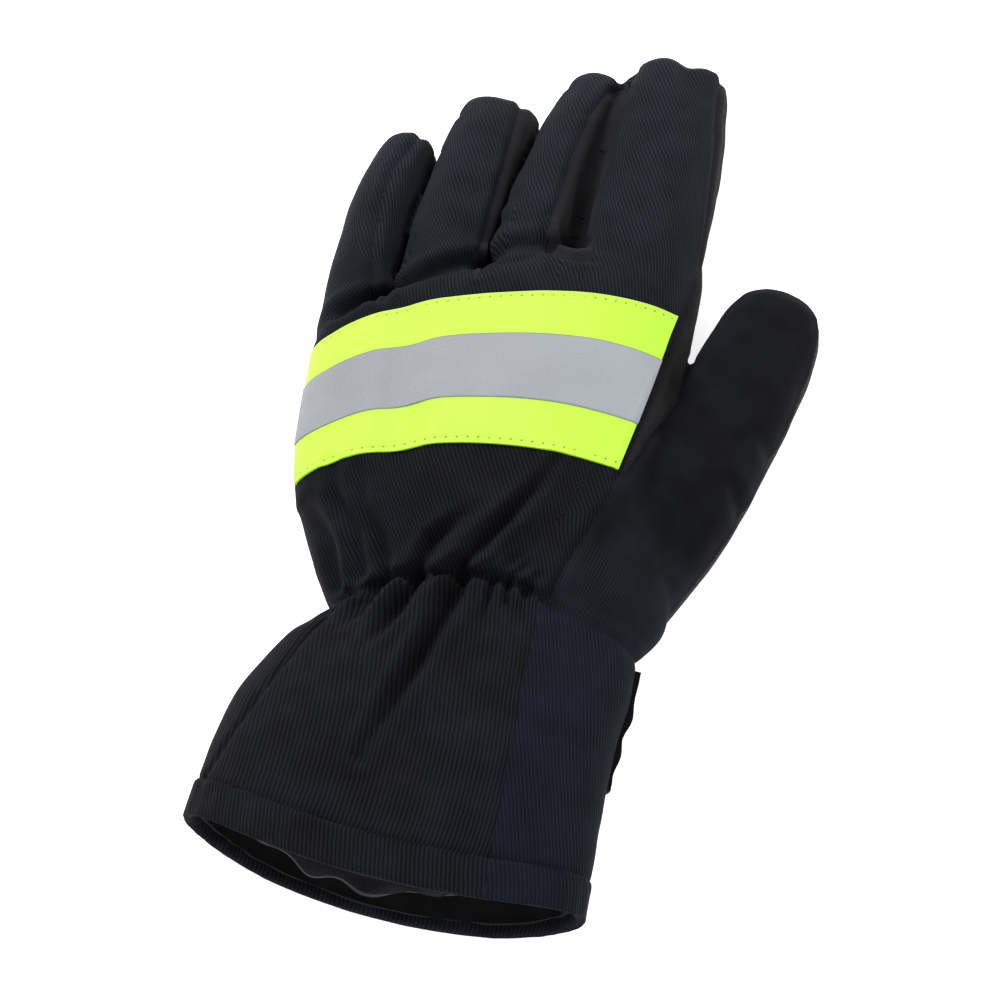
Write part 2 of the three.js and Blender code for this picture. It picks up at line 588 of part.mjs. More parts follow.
for (const panel of CUFF_PANELS) {
  const start = CLEARANCE / 2 / (cuffRows[0].leftY - cuffRows[1].leftY);
  const end = HEM_PLACE - CLEARANCE / HEM_WIDTH;
  panels[`cuff_${panel.name}`] = cuffBand(panel, start, end, CUFF_STEPS, 0, -WALL);
  panels[`hem_${panel.name}`] = cuffBand(panel, HEM_PLACE, cuffLast, HEM_STEPS, HEM_RISE, -WALL);
}

// Lining: a loose wrinkled tube inside the cuff, open at both ends
const LINING_RING = 28;
const LINING_STEPS = 4;
const LINING_WAVES = 7;
function liningTube() {
  const start = cuffLast - LINING_LENGTH / CUFF_LENGTH * cuffLast;
  const end = cuffLast - CLEARANCE;
  const ringAt = (step, out) => {
    const place = lerp(end, start, step / LINING_STEPS);
    const slack = LINING_SLACK * THREE.MathUtils.smoothstep(step, 0, 1);
    const ring = [];
    for (let j = 0; j < LINING_RING; j += 1) {
      const angle = 2 * Math.PI * j / LINING_RING;
      const wave = LINING_WAVE * (1 - Math.cos(LINING_WAVES * angle + step)) / 2;
      const inwards = WALL + CLEARANCE + slack + wave + out;
      ring.push(clothPoint(cuffRows, place, angle, -inwards, noFolds));
    }
    return ring;
  };
  const steps = [...Array(LINING_STEPS + 1).keys()];
  const outer = steps.map((step) => ringAt(step, 0));
  const inner = steps.map((step) => ringAt(step, LINING_THICKNESS)).reverse();
  return loft([...outer, ...inner], true);
}
panels.cuff_lining = liningTube();

// Strap: across the palm side of the cuff, its end standing proud at the thumb side
const STRAP_STEPS = 3;
const STRAP_COLUMNS = 18;
const STRAP_GAP = 3 * CLEARANCE; // the coarser strap clears the finer cuff below it
function strapBand() {
  const length = STRAP_WIDTH / CUFF_LENGTH;
  return clothPatch(STRAP_STEPS + 1, STRAP_COLUMNS + 1, (i, j, side) => {
    const along = STRAP_SHARE.start + length * i / STRAP_STEPS;
    let place = 0;
    while (place < cuffLast && -section(cuffRows, place).leftY < along * CUFF_LENGTH) place += 0.02;
    const angle = lerp(STRAP_SHARE.left, STRAP_SHARE.right, j / STRAP_COLUMNS);
    return clothPoint(cuffRows, place, angle, STRAP_GAP + side * STRAP_THICKNESS);
  });
}
panels.wrist_strap = strapBand();

// Which finish each piece has
const PIECE_FINISHES = {
  hand_back: 'charcoal',
  palm: 'black',
  fourchette_little_ring: 'charcoal',
  fourchette_ring_middle: 'black',
  fourchette_middle_index: 'black',
  index_side: 'black',
  thumb_back: 'charcoal',
  thumb_palm: 'black',
  tape_yellow: 'lime',
  tape_silver: 'silver',
  cuff_back: 'charcoal',
  cuff_side: 'navy',
  cuff_palm: 'charcoal',
  hem_back: 'charcoal',
  hem_side: 'navy',
  hem_palm: 'charcoal',
  cuff_lining: 'black',
  wrist_strap: 'black',
};

const glove = new THREE.Group();
for (const [name, finish] of Object.entries(PIECE_FINISHES)) {
  const mesh = new THREE.Mesh(toGeometry(panels[name]), new THREE.MeshStandardMaterial(FINISHES[finish]));
  mesh.name = name;
  glove.add(mesh);
}

// The origin goes under the middle of the whole glove
const box = new THREE.Box3().setFromObject(glove);
const middle = box.getCenter(new THREE.Vector3());
glove.position.set(-middle.x, -middle.y, -box.min.z);

export default glove;
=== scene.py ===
# %% [markdown]
# # A firefighter's glove
# This lesson dresses a packed glove: a left-hand one, lying palm down, with a twill back, a bright
# band across the knuckles, a gathered wrist and a wide cuff. The frame gives every piece its place
# and size. It is loaded first, and its box is kept to compare the finished glove with.

# %% The frame
import math

import bmesh
import bpy
import numpy as np
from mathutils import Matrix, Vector, noise
from mathutils.bvhtree import BVHTree
from mathutils.kdtree import KDTree


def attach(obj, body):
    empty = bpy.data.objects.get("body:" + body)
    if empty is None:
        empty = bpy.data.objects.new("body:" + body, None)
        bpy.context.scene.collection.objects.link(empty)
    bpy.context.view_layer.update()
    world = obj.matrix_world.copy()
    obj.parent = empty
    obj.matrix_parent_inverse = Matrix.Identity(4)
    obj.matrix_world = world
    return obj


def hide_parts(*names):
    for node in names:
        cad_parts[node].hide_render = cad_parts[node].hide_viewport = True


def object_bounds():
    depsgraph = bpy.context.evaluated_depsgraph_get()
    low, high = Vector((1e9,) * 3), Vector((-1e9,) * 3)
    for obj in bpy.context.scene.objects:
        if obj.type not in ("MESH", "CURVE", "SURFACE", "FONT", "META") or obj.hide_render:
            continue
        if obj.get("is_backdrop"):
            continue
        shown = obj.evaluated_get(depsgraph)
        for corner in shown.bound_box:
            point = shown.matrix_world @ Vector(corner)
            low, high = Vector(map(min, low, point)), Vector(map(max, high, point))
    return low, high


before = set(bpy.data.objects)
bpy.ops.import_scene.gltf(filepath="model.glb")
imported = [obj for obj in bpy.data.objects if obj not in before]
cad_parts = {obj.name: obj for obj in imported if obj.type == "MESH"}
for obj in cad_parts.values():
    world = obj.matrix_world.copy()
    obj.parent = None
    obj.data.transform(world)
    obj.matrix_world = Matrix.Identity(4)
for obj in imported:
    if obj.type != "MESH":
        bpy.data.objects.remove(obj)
cad_low, cad_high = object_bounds()
print("nodes:", len(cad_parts), "size in mm:", [round(1000 * s) for s in cad_high - cad_low])

# %% [markdown]
# ## Camera
# The photograph looks down at the glove from the cuff's side, turned a little to the right. A long
# lens keeps the fingers from shrinking. The camera is placed by an azimuth, an elevation and a
# distance from a point inside the wrist, because those are easy to read and to change. The plain
# view transform keeps the lime as vivid as it is.

# %% Camera
AZIMUTH = math.radians(15)
ELEVATION = math.radians(65)
DISTANCE = 0.8889
AIM = Vector((-0.0037, -0.0203, 0.020))
back = Vector((math.sin(AZIMUTH) * math.cos(ELEVATION),
               -math.cos(AZIMUTH) * math.cos(ELEVATION),
               math.sin(ELEVATION)))
camera = bpy.data.objects.new("camera", bpy.data.cameras.new("camera"))
camera.data.lens = 100
camera.data.sensor_width = 36
camera.location = AIM + back * DISTANCE
camera.rotation_mode = "QUATERNION"
camera.rotation_quaternion = (-back).to_track_quat("-Z", "Y")
bpy.context.collection.objects.link(camera)
bpy.context.scene.camera = camera
bpy.context.scene.view_settings.view_transform = "Standard"
print("camera at", [round(c, 3) for c in camera.location])

# %% [markdown]
# ## Sizes
# The glove is drawn in a frame of its own while it is made: millimetres, with the wrist seam at
# Y = 0. `placed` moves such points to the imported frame, in metres. The tables give the glove's
# sections as shares of a few driving sizes, so that a change of one size carries everything along.

# %% Driving sizes
HAND_LENGTH = 132
HAND_WIDTH = 118
HAND_HEIGHT = 44
CUFF_LENGTH = 83
CUFF_WIDTH = 125
CUFF_HEIGHT = 46
SEAM_HEIGHT = 13
SLIT = 2.3
FLATTENING = 3
ROUNDNESS = 2.3
MIDDLE_SHARE = 0.42
HEM_WIDTH = 12
CLOTH = 1.4
WRIST = Vector((-0.00367, -0.06527, 0))
MM = 0.001


def placed(points):
    return np.asarray(points, float) * MM + np.array(WRIST)


def columns(names, rows):
    return [dict(zip(names.split(), row)) for row in rows]


HAND_SECTIONS = columns("leftY rightY left right top under bow", [
    (-0.12, -0.07, -0.373, 0.477, 0.86, 0.07, -0.07),
    (-0.053, -0.002, -0.373, 0.477, 0.85, 0.07, -0.07),
    (-0.023, 0.03, -0.373, 0.475, 0.84, 0.07, -0.07),
    (0.06, 0.12, -0.43, 0.52, 0.92, 0.02, -0.068),
    (0.15, 0.27, -0.49, 0.5, 0.98, 0, -0.066),
    (0.235, 0.42, -0.545, 0.45, 1, 0, -0.066),
    (0.41, 0.66, -0.592, 0.405, 1, 0, -0.064),
    (0.591, 0.902, -0.618, 0.39, 0.98, 0, -0.06),
    (0.635, 1.05, -0.622, 0.378, 0.93, 0, -0.045),
    (0.665, 1.15, -0.608, 0.345, 0.74, 0.06, -0.03),
])
WRIST_ROW = 2
TAPE_ROWS = (5, 7)
CUFF_SECTIONS = columns("along left right top under bow", [
    (0.15, -0.388, 0.455, 0.89, 0.068, 0.01),
    (0.3, -0.44, 0.45, 0.96, 0.068, 0.03),
    (0.48, -0.488, 0.452, 1, 0.068, 0.06),
    (0.66, -0.508, 0.46, 1, 0.03, 0.09),
    (0.85, -0.518, 0.472, 0.98, 0.022, 0.11),
    (1, -0.52, 0.48, 0.97, 0.022, 0.12),
])
FINGERS = columns("name rootX bendX tipX rootY tipY width tall full", [
    ("little", -0.46, -0.6, -0.54, 0.46, 1.311, 0.203, 0.705, 0.1),
    ("ring", -0.314, -0.36, -0.312, 0.6, 1.462, 0.262, 0.795, 1.6),
    ("middle", -0.093, -0.165, -0.032, 0.68, 1.598, 0.237, 0.841, 1.6),
    ("index", 0.18, 0.19, 0.136, 0.62, 1.693, 0.365, 0.852, 0.8),
    ("thumb", 0.288, 0.527, 0.609, 0.02, 1.1, 0.331, 0.705, -0.05),
])
BEND_SHARE = 0.45
FINGER_PROFILE = columns("along width top under full", [
    (0, 0.76, 0.86, 0.08, 0),
    (0.2, 0.95, 0.96, 0.02, 0),
    (0.45, 1.01, 1, 0, 0),
    (0.7, 0.98, 0.93, 0, 0.01),
    (0.84, 0.93, 0.84, 0, 0.03),
    (0.92, 0.85, 0.76, 0, 0.06),
    (0.965, 0.72, 0.68, 0.04, 0.1),
    (0.99, 0.5, 0.58, 0.1, 0.14),
    (1, 0.24, 0.48, 0.2, 0.1),
])
CROTCHES = {"little": 0.765, "ring": 0.885, "middle": 2}
print("sections:", len(HAND_SECTIONS), "hand,", len(CUFF_SECTIONS), "cuff,", len(FINGERS), "fingers")

# %% [markdown]
# ## The body of the glove
# A glove's hand is a flattened tube that meets five narrower ones. Each could be box modelled, but
# a loft through a few sections follows a real glove's outline more closely. `through` runs a
# smooth curve down a table's column, and `cloth_points` turns a section into a rounded ring that
# lies flat on the table below.

# %% Sections
def through(rows, column, place):
    place = np.asarray(place, float)
    values = np.array([row[column] for row in rows], float)
    index = np.clip(np.floor(place).astype(int), 0, len(rows) - 2)
    t = place - index

    def at(step):
        return values[np.clip(index + step, 0, len(rows) - 1)]

    start = (at(1) - at(-1)) / 2
    end = (at(2) - at(0)) / 2
    rise = at(1) - at(0)
    return at(0) + start * t + (3 * rise - 2 * start - end) * t**2 + (start + end - 2 * rise) * t**3


def scaled(row, length, width, height):
    return {"leftY": row["leftY"] * length, "rightY": row["rightY"] * length,
            "left": row["left"] * width, "right": row["right"] * width,
            "top": row["top"] * height, "under": row["under"] * height,
            "bow": row.get("bow", 0) * length}


hand_rows = [scaled(row, HAND_LENGTH, HAND_WIDTH, HAND_HEIGHT) for row in HAND_SECTIONS]
cuff_rows = [hand_rows[WRIST_ROW]] + [
    scaled({**row, "leftY": -row["along"], "rightY": -row["along"]}, CUFF_LENGTH, CUFF_WIDTH, CUFF_HEIGHT)
    for row in CUFF_SECTIONS]


def signed_power(value, power):
    return np.sign(value) * np.abs(value) ** power


def cloth_points(rows, place, angle, out=0.0):
    """Places on the hand or the cuff: angle 0 is the thumb side, a quarter turn is the top."""
    place, angle, out = np.broadcast_arrays(*(np.asarray(v, float) for v in (place, angle, out)))
    row = {name: through(rows, name, place) for name in rows[0]}
    under = np.maximum(row["under"], 0)
    middle_x = (row["left"] + row["right"]) / 2
    half_width = (row["right"] - row["left"]) / 2
    middle_z = under + (row["top"] - under) * MIDDLE_SHARE
    across = signed_power(np.cos(angle), 2 / ROUNDNESS)
    up = signed_power(np.sin(angle), 2 / ROUNDNESS)
    share = (across + 1) / 2
    y = row["leftY"] + (row["rightY"] - row["leftY"]) * share - row["bow"] * 4 * share * (1 - share)
    half_height = np.where(up > 0, row["top"] - middle_z, middle_z - under + FLATTENING)
    z = np.maximum(middle_z + (half_height + out) * up, under - out)
    return np.stack([middle_x + (half_width + out) * across, y, z], axis=-1)


# %% [markdown]
# Neighbouring fingers press against each other, so their sides stop at a line halfway between
# them. A finger is lofted along a curve from its root inside the hand to its tip.

# %% Fingers
def finger_path(finger, along):
    root = np.array([finger["rootX"] * HAND_WIDTH, finger["rootY"] * HAND_LENGTH])
    tip = np.array([finger["tipX"] * HAND_WIDTH, finger["tipY"] * HAND_LENGTH])
    bend = np.array([finger["bendX"] * HAND_WIDTH, root[1] + (tip[1] - root[1]) * BEND_SHARE])
    t = np.asarray(along, float)[..., None]
    place = (1 - t) ** 2 * root + 2 * t * (1 - t) * bend + t**2 * tip
    heading = 2 * (1 - t) * (bend - root) + 2 * t * (tip - bend)
    return place, heading / np.linalg.norm(heading, axis=-1, keepdims=True)


PROFILE_ALONG = np.array([row["along"] for row in FINGER_PROFILE])


def profile(column, along):
    place = np.interp(along, PROFILE_ALONG, np.arange(len(FINGER_PROFILE)))
    return through(FINGER_PROFILE, column, place)


FINE_ALONG = np.linspace(0, 1, 201)


def half_widths(finger, along):
    shape = profile("width", along) + finger["full"] * profile("full", along)
    return finger["width"] * HAND_WIDTH / 2 * shape


def finger_side(finger, y, side):
    places, _ = finger_path(finger, FINE_ALONG)
    along = np.interp(y, places[:, 1], FINE_ALONG)
    middle = np.interp(y, places[:, 1], places[:, 0])
    return middle + side * half_widths(finger, along)


def slit_x(first, second, y):
    y = np.minimum(y, HAND_LENGTH * min(first["tipY"], second["tipY"]))
    return (finger_side(first, y, 1) + finger_side(second, y, -1)) / 2


def limited(points, finger):
    """Stops a finger's side at the slit to each neighbour."""
    order = [f["name"] for f in FINGERS[:4]]
    if finger["name"] not in order:
        return points
    i = order.index(finger["name"])
    for first, second in ((i, i + 1), (i - 1, i)):
        if first < 0 or second > 3:
            continue
        crotch = CROTCHES[order[first]] * HAND_LENGTH
        y = points[..., 1]
        line = slit_x(FINGERS[first], FINGERS[second], y)
        if first == i:
            x = np.minimum(points[..., 0], line - SLIT / 2)
        else:
            x = np.maximum(points[..., 0], line + SLIT / 2)
        points[..., 0] = np.where(y > crotch, x, points[..., 0])
    return points


def finger_rings(finger, steps=90, around=72):
    along = 1 - (1 - np.linspace(0, 1, steps)) ** 1.6
    middle, heading = finger_path(finger, along)
    angle = 2 * np.pi * (np.arange(around) + 0.5) / around
    across = signed_power(np.cos(angle), 2 / ROUNDNESS)[None, :]
    up = signed_power(np.sin(angle), 2 / ROUNDNESS)[None, :]
    half_width = half_widths(finger, along)[:, None]
    top = (finger["tall"] * HAND_HEIGHT * profile("top", along))[:, None]
    under = (finger["tall"] * HAND_HEIGHT * np.maximum(profile("under", along), 0))[:, None]
    middle_z = under + (top - under) * MIDDLE_SHARE
    half_height = np.where(up > 0, top - middle_z, middle_z - under + FLATTENING)
    z = np.maximum(middle_z + half_height * up, under)
    x = middle[:, 0, None] + heading[:, 1, None] * half_width * across
    y = middle[:, 1, None] - heading[:, 0, None] * half_width * across
    return limited(np.stack([x, y, z], axis=-1), finger)


def new_object(name, points, faces):
    mesh = bpy.data.meshes.new(name)
    mesh.from_pydata(placed(points).tolist(), [], faces)
    mesh.validate()
    piece = bpy.data.objects.new(name, mesh)
    bpy.context.collection.objects.link(piece)
    return piece


def tube_faces(rings, around, offset=0):
    faces = []
    for i in range(rings - 1):
        for j in range(around):
            k = (j + 1) % around
            a = offset + i * around
            faces.append((a + j, a + k, a + around + k, a + around + j))
    faces.append(tuple(offset + j for j in range(around))[::-1])
    faces.append(tuple(offset + (rings - 1) * around + j for j in range(around)))
    return faces


def lofted(all_rings):
    points, faces, offset = [], [], 0
    for rings in all_rings:
        count, around = rings.shape[:2]
        points.append(rings.reshape(-1, 3))
        faces += tube_faces(count, around, offset)
        offset += count * around
    return np.concatenate(points), faces


hand_places = np.linspace(0, len(hand_rows) - 1, 150)
hand_angles = 2 * np.pi * np.arange(180) / 180
hand_rings = cloth_points(hand_rows, hand_places[:, None], hand_angles[None, :])
points, faces = lofted([hand_rings] + [finger_rings(finger) for finger in FINGERS])
skin = new_object("glove_skin", points, faces)
print("loose lofts:", len(points), "points")

# %% [markdown]
# Six closed lofts overlap. A boolean union would leave slivers where they meet, so the lofts are
# remeshed in small voxels instead: that fuses them into one even skin, which a few rounds of
# smoothing then soften, as cloth never keeps a sharp inner corner.

# %% One skin
VOXEL = 0.00095


def only(piece):
    bpy.ops.object.select_all(action="DESELECT")
    piece.select_set(True)
    bpy.context.view_layer.objects.active = piece


def with_modifier(piece, kind, **settings):
    only(piece)
    modifier = piece.modifiers.new(kind.lower(), kind)
    for name, value in settings.items():
        setattr(modifier, name, value)
    bpy.ops.object.modifier_apply(modifier=modifier.name)
    return piece


def smooth_shaded(piece, sharp=60):
    only(piece)
    bpy.ops.object.shade_smooth_by_angle(angle=math.radians(sharp))


def thickened(piece, thickness, sharp=60):
    """Gives a sheet its thickness inwards, and smooth shading up to a sharp angle in degrees."""
    with_modifier(piece, "SOLIDIFY", thickness=thickness * MM, offset=-1)
    smooth_shaded(piece, sharp)


with_modifier(skin, "REMESH", mode="VOXEL", voxel_size=VOXEL)
with_modifier(skin, "SMOOTH", factor=0.5, iterations=7)
print("skin:", len(skin.data.vertices), "points")


# %% [markdown]
# ## Folds
# Cloth that an elastic gathers throws folds that run away from it, and padding makes a soft lip
# beside each crease. A cloth simulation would put folds somewhere, but this glove has particular
# ones, so each is a line with a depth, a width, a lip and the share by which it fades towards its
# end, and it can be moved by hand. One function presses the hand, the cuff and the lining.

# %% Fold tables
FOLDS = columns("name line depth width lip fade", [
    ("left crease", [(-0.207, 0.031), (-0.261, 0.114), (-0.33, 0.18), (-0.37, 0.27)],
     4.0, 2.5, 0.4, 0.8),
    ("outer left crease", [(-0.283, 0.03), (-0.328, 0.119), (-0.413, 0.199), (-0.45, 0.28)],
     3.4, 2.5, 0.4, 0.8),
    ("edge crease", [(-0.34, 0.0), (-0.404, 0.1), (-0.5, 0.19)], 2.4, 2.4, 0.3, 0.6),
    ("deep diagonal", [(-0.03, 0.085), (0.001, 0.145), (0.059, 0.235), (0.106, 0.32), (0.135, 0.39)],
     5.0, 2.5, 0.45, 0.7),
    ("second diagonal", [(-0.141, 0.05), (-0.12, 0.133), (-0.075, 0.188), (-0.03, 0.24)],
     4.4, 2.6, 0.4, 0.9),
    ("right hollow", [(0.11, 0.1), (0.14, 0.18), (0.2, 0.3)], 1.8, 4.2, 0.2, 0.8),
    ("long cuff fold", [(-0.02, 0.07), (-0.042, -0.05), (-0.068, -0.2), (-0.13, -0.44)],
     5.8, 3.0, 0.45, 0.65),
    ("second cuff fold", [(-0.13, 0.045), (-0.17, -0.06), (-0.22, -0.2)], 4.4, 2.8, 0.45, 1),
    ("left cuff fold", [(-0.21, 0.02), (-0.3, -0.12)], 3.2, 2.5, 0.4, 0.9),
    ("left cuff hollow", [(-0.25, -0.12), (-0.33, -0.24)], 1.4, 6, 0, 0),
    ("cuff pucker", [(0.048, 0.09), (0.06, 0.0), (0.078, -0.08)], 2.6, 2.1, 0.4, 0.9),
    ("small cuff pucker", [(0.096, 0.09), (0.118, 0.0)], 2.4, 1.9, 0.4, 0.9),
    ("last cuff pucker", [(0.14, 0.085), (0.19, 0.02)], 2.0, 1.9, 0.3, 0.9),
    ("cuff dip", [(0.06, -0.2), (-0.1, -0.45)], 1.2, 10, 0, 0),
    ("knuckle crease", [(-0.56, 0.7), (-0.43, 0.79), (-0.295, 0.885), (-0.16, 0.965), (-0.06, 0.99)],
     3.0, 2.8, 0.5, 0.4),
    ("tape dip", [(-0.35, 0.66), (-0.31, 0.5), (-0.28, 0.34)], 2.2, 6, 0.2, 0),
    ("saddle of the index finger", [(0.163, 1.72), (0.19, 1.6), (0.205, 1.5)], 2.2, 4.5, 0.2, 0.7),
    ("middle finger wrinkle", [(-0.19, 1.11), (-0.14, 1.075), (-0.09, 1.065)], 0.9, 2.6, 0.3, 0.8),
    ("middle finger wrinkle below", [(-0.2, 1.05), (-0.13, 1.02)], 0.7, 2.6, 0.3, 0.8),
    ("ring finger hollow", [(-0.32, 1.1), (-0.3, 1.0)], 1.0, 5, 0.1, 0),
    ("between middle and index finger",
     [(0.012, 1.05), (0.002, 1.15), (-0.003, 1.25), (-0.002, 1.42), (0.01, 1.65)], 4.2, 2.7, 0, 0),
    ("roll of the index seam", [(0.046, 1.06), (0.022, 1.25), (0.017, 1.42), (0.02, 1.6)],
     -1.3, 1.1, 0, 0),
    ("end of the plain strip", [(-0.02, 1.04), (0.015, 1.01), (0.045, 1.04)], 2.6, 2.4, 0, 0),
    ("lip of the plain strip",
     [(-0.068, 1.06), (-0.052, 1.01), (-0.014, 0.982), (0.028, 0.97), (0.064, 0.985), (0.06, 1.05)],
     -1.9, 1.6, 0, 0),
    ("valley to the thumb", [(0.4, 0.72), (0.42, 0.5), (0.37, 0.3)], 2.4, 5, 0.1, 0.3),
    ("thumb crease", [(0.66, 0.44), (0.6, 0.5), (0.53, 0.48)], 1.2, 3, 0.3, 0.7),
    ("thumb joint", [(0.7, 0.62), (0.62, 0.66)], 1.0, 3, 0.3, 0.7),
])
TUCKS = columns("x lean length depth", [
    (-36, 0.8, -14, 2.0), (-29, 0.6, -11, 2.2), (-16, 0.4, -10, 2.4), (-10, 0.2, -9, 2.0),
    (-1, 0.0, -8, 2.4), (2.5, -0.1, -15, 2.2), (6.5, -0.2, -10, 2.4), (11, -0.3, -9, 2.2),
    (16, -0.5, -8, 1.8), (20, -0.5, -7, 1.4), (-34, -0.6, 13, 1.8), (-20, -0.3, 9, 2.0),
    (-9, 0.5, 8, 2.2), (2, 0.7, 9, 2.2), (7, 0.7, 12, 2.0), (12, 0.6, 9, 2.2), (18, 0.5, 8, 1.8),
])
TUCK_WIDTH = 1.6
SEAM_HOLD = 0.6
GATHER_DEPTH = 1.2
GATHER_REACH = 10
PUCKERS = 21
WRIST_SEAM = [(-50, -9), (-44, -6.5), (-35, -2.5), (-28.7, 0.5), (-21.7, 4), (-13, 7), (-4, 9.5), (5, 10.7),
              (14.6, 11), (20, 10), (24.4, 8.2), (29.5, 6.6), (39.4, 4.9), (50, 3.4), (57, 2.2), (64, 1)]
ELASTIC_END = (24, 40)


def to_line(x, y, line):
    """Distance from places to a line through a few points, and the share of it at the nearest point."""
    best = np.full(x.shape, 1e9)
    along = np.zeros(x.shape)
    corners = [(x_share * HAND_WIDTH, y_share * HAND_LENGTH) for x_share, y_share in line]
    steps = [math.hypot(bx - ax, by - ay) for (ax, ay), (bx, by) in zip(corners, corners[1:])]
    passed = 0
    for step, (ax, ay), (bx, by) in zip(steps, corners, corners[1:]):
        share = ((x - ax) * (bx - ax) + (y - ay) * (by - ay)) / max(step**2, 1e-9)
        share = np.clip(share, 0, 1)
        away = np.hypot(x - ax - (bx - ax) * share, y - ay - (by - ay) * share)
        along = np.where(away < best, (passed + share * step) / sum(steps), along)
        best = np.minimum(best, away)
        passed += step
    return best, along


def smooth_between(value, low, high):
    t = np.clip((value - low) / (high - low), 0, 1)
    return t * t * (3 - 2 * t)


SEAM_X, SEAM_Y = np.array(WRIST_SEAM, float).T


def wrist_line(x):
    """The Y place of the wrist seam, rounded off over a few millimetres."""
    return sum(np.interp(x + step, SEAM_X, SEAM_Y) for step in (-2, 0, 2)) / 3


def tuck_line(tuck):
    """Starts at the wrist seam and runs up the hand, or down the cuff if its length is negative."""
    start = float(wrist_line(tuck["x"]))
    end = tuck["x"] + tuck["lean"] * tuck["length"]
    foot = (tuck["x"] / HAND_WIDTH, start / HAND_LENGTH)
    return [foot, (end / HAND_WIDTH, (start + tuck["length"]) / HAND_LENGTH)]


for tuck in TUCKS:
    FOLDS.append({"name": "tuck", "line": tuck_line(tuck), "depth": tuck["depth"],
                  "width": TUCK_WIDTH, "lip": 0.45, "fade": 1})


def pressed(x, y, z):
    """How far the cloth is pressed in, and how high above the table that shows."""
    upper = smooth_between(z, 8, 20)
    depth = np.zeros(x.shape)
    for fold in FOLDS:
        away, along = to_line(x, y, fold["line"])
        away = away / (fold["width"] * (1 - 0.35 * fold["fade"] * along))
        kept = 1 - fold["fade"] * smooth_between(along, 0.35, 1)
        depth += fold["depth"] * kept * (np.exp(-away**2) - fold["lip"] * np.exp(-((away - 2) ** 2)))
    depth *= SEAM_HOLD + (1 - SEAM_HOLD) * smooth_between(np.abs(y - wrist_line(x)), 0.5, 5)
    from_wrist = (y - wrist_line(x)) / GATHER_REACH
    around = np.arctan2(z - HAND_HEIGHT * MIDDLE_SHARE, x - 6)
    wave = PUCKERS * around + 1.4 * np.sin(3 * around) + 0.8 * np.sin(7 * around + 1)
    elastic = 1 - 0.85 * smooth_between(x, *ELASTIC_END)
    amount = GATHER_DEPTH * (0.75 + 0.35 * np.sin(2 * around + 1) + 0.3 * np.sin(5 * around)) * elastic
    amount = amount * np.exp(-np.abs(from_wrist) ** 1.5) * (0.35 + 0.65 * upper)
    depth += amount * (0.5 - 0.5 * np.cos(wave))
    depth += 1.3 * elastic * np.exp(-((from_wrist * 2.4) ** 2))
    return depth * np.maximum(upper, 0.12)


def uneven(points):
    """The slow unevenness of padded cloth."""
    wide = np.array([noise.noise(Vector(p) / 26) for p in points])
    near = np.array([noise.noise(Vector(p) / 9 + Vector((7, 3, 1))) for p in points])
    return 0.75 * wide + 0.28 * near


def coordinates(mesh):
    flat = np.empty(len(mesh.vertices) * 3)
    mesh.vertices.foreach_get("co", flat)
    return flat.reshape(-1, 3)


def own_frame(points):
    return (points - np.array(WRIST)) / MM


def normals(mesh):
    flat = np.empty(len(mesh.vertices) * 3)
    mesh.vertices.foreach_get("normal", flat)
    return flat.reshape(-1, 3)


def move_to(mesh, points):
    mesh.vertices.foreach_set("co", points.ravel())
    mesh.update()


def pushed(points, facing):
    """Points of the glove's frame moved by the folds, along their normals, and kept off the table."""
    depth = pressed(*points.T) + uneven(points) * smooth_between(points[:, 2], 2, 12)
    moved = points - facing * depth[:, None]
    moved[:, 2] = np.maximum(moved[:, 2], np.minimum(points[:, 2], 0.15))
    return moved


# %% [markdown]
# A weave has to follow the cloth round a finger, so the skin carries its place in the cloth, in
# metres. Over the back that is the plan view, and down a side it goes on by the height that the
# side drops, so ribs don't stretch there. It is stored before the folds are pressed, because the
# ribs of real cloth go down into a fold with it.

# %% Place in the cloth, and pressing
def hand_weave(points):
    """Metres of cloth across and along the hand and its fingers."""
    x, y, z = points.T
    left_y = [row["leftY"] for row in HAND_SECTIONS]
    section_places = np.interp(y / HAND_LENGTH, left_y, np.arange(len(left_y)))
    middle_x = through(hand_rows, "left", section_places) + HAND_WIDTH / 2
    half = np.full(x.shape, HAND_WIDTH / 2)
    top = np.full(x.shape, float(HAND_HEIGHT))
    nearest = np.full(x.shape, 1.25)
    for finger in FINGERS:
        places, _ = finger_path(finger, FINE_ALONG)
        here = np.interp(y, places[:, 1], places[:, 0])
        width = finger["width"] * HAND_WIDTH / 2
        apart = np.abs(x - here) / width
        root = finger["rootY"] * HAND_LENGTH
        near = (apart < nearest) & (y > root + 25)
        part = near * smooth_between(y, root + 25, root + 60)
        nearest = np.where(near, apart, nearest)
        share = np.interp(y, places[:, 1], FINE_ALONG)
        middle_x = middle_x + (here - middle_x) * part
        half = half + (width - half) * part
        top = top + (finger["tall"] * HAND_HEIGHT * profile("top", share) - top) * part
    side = np.clip((x - middle_x) / (0.6 * half), -1, 1)
    return (x + side * np.maximum(top - z, 0)) * MM, y * MM


skin_points = own_frame(coordinates(skin.data))
weave = np.zeros((len(skin_points), 3))
weave[:, 0], weave[:, 1] = hand_weave(skin_points)
skin.data.attributes.new("weave", "FLOAT_VECTOR", "POINT").data.foreach_set("vector", weave.ravel())
skin_points = pushed(skin_points, normals(skin.data))
move_to(skin.data, placed(skin_points))
with_modifier(skin, "SMOOTH", factor=0.5, iterations=2)
print("folds pressed:", len(FOLDS))

# %% [markdown]
# ## Seams
# The panels meet at seams. A jagged edge along the voxels would show, so each seam is a line whose
# signed distance is worked out at every point. Edges that cross the line are split exactly there,
# and the new points are joined: the skin is cut as with scissors, and no face is lost.

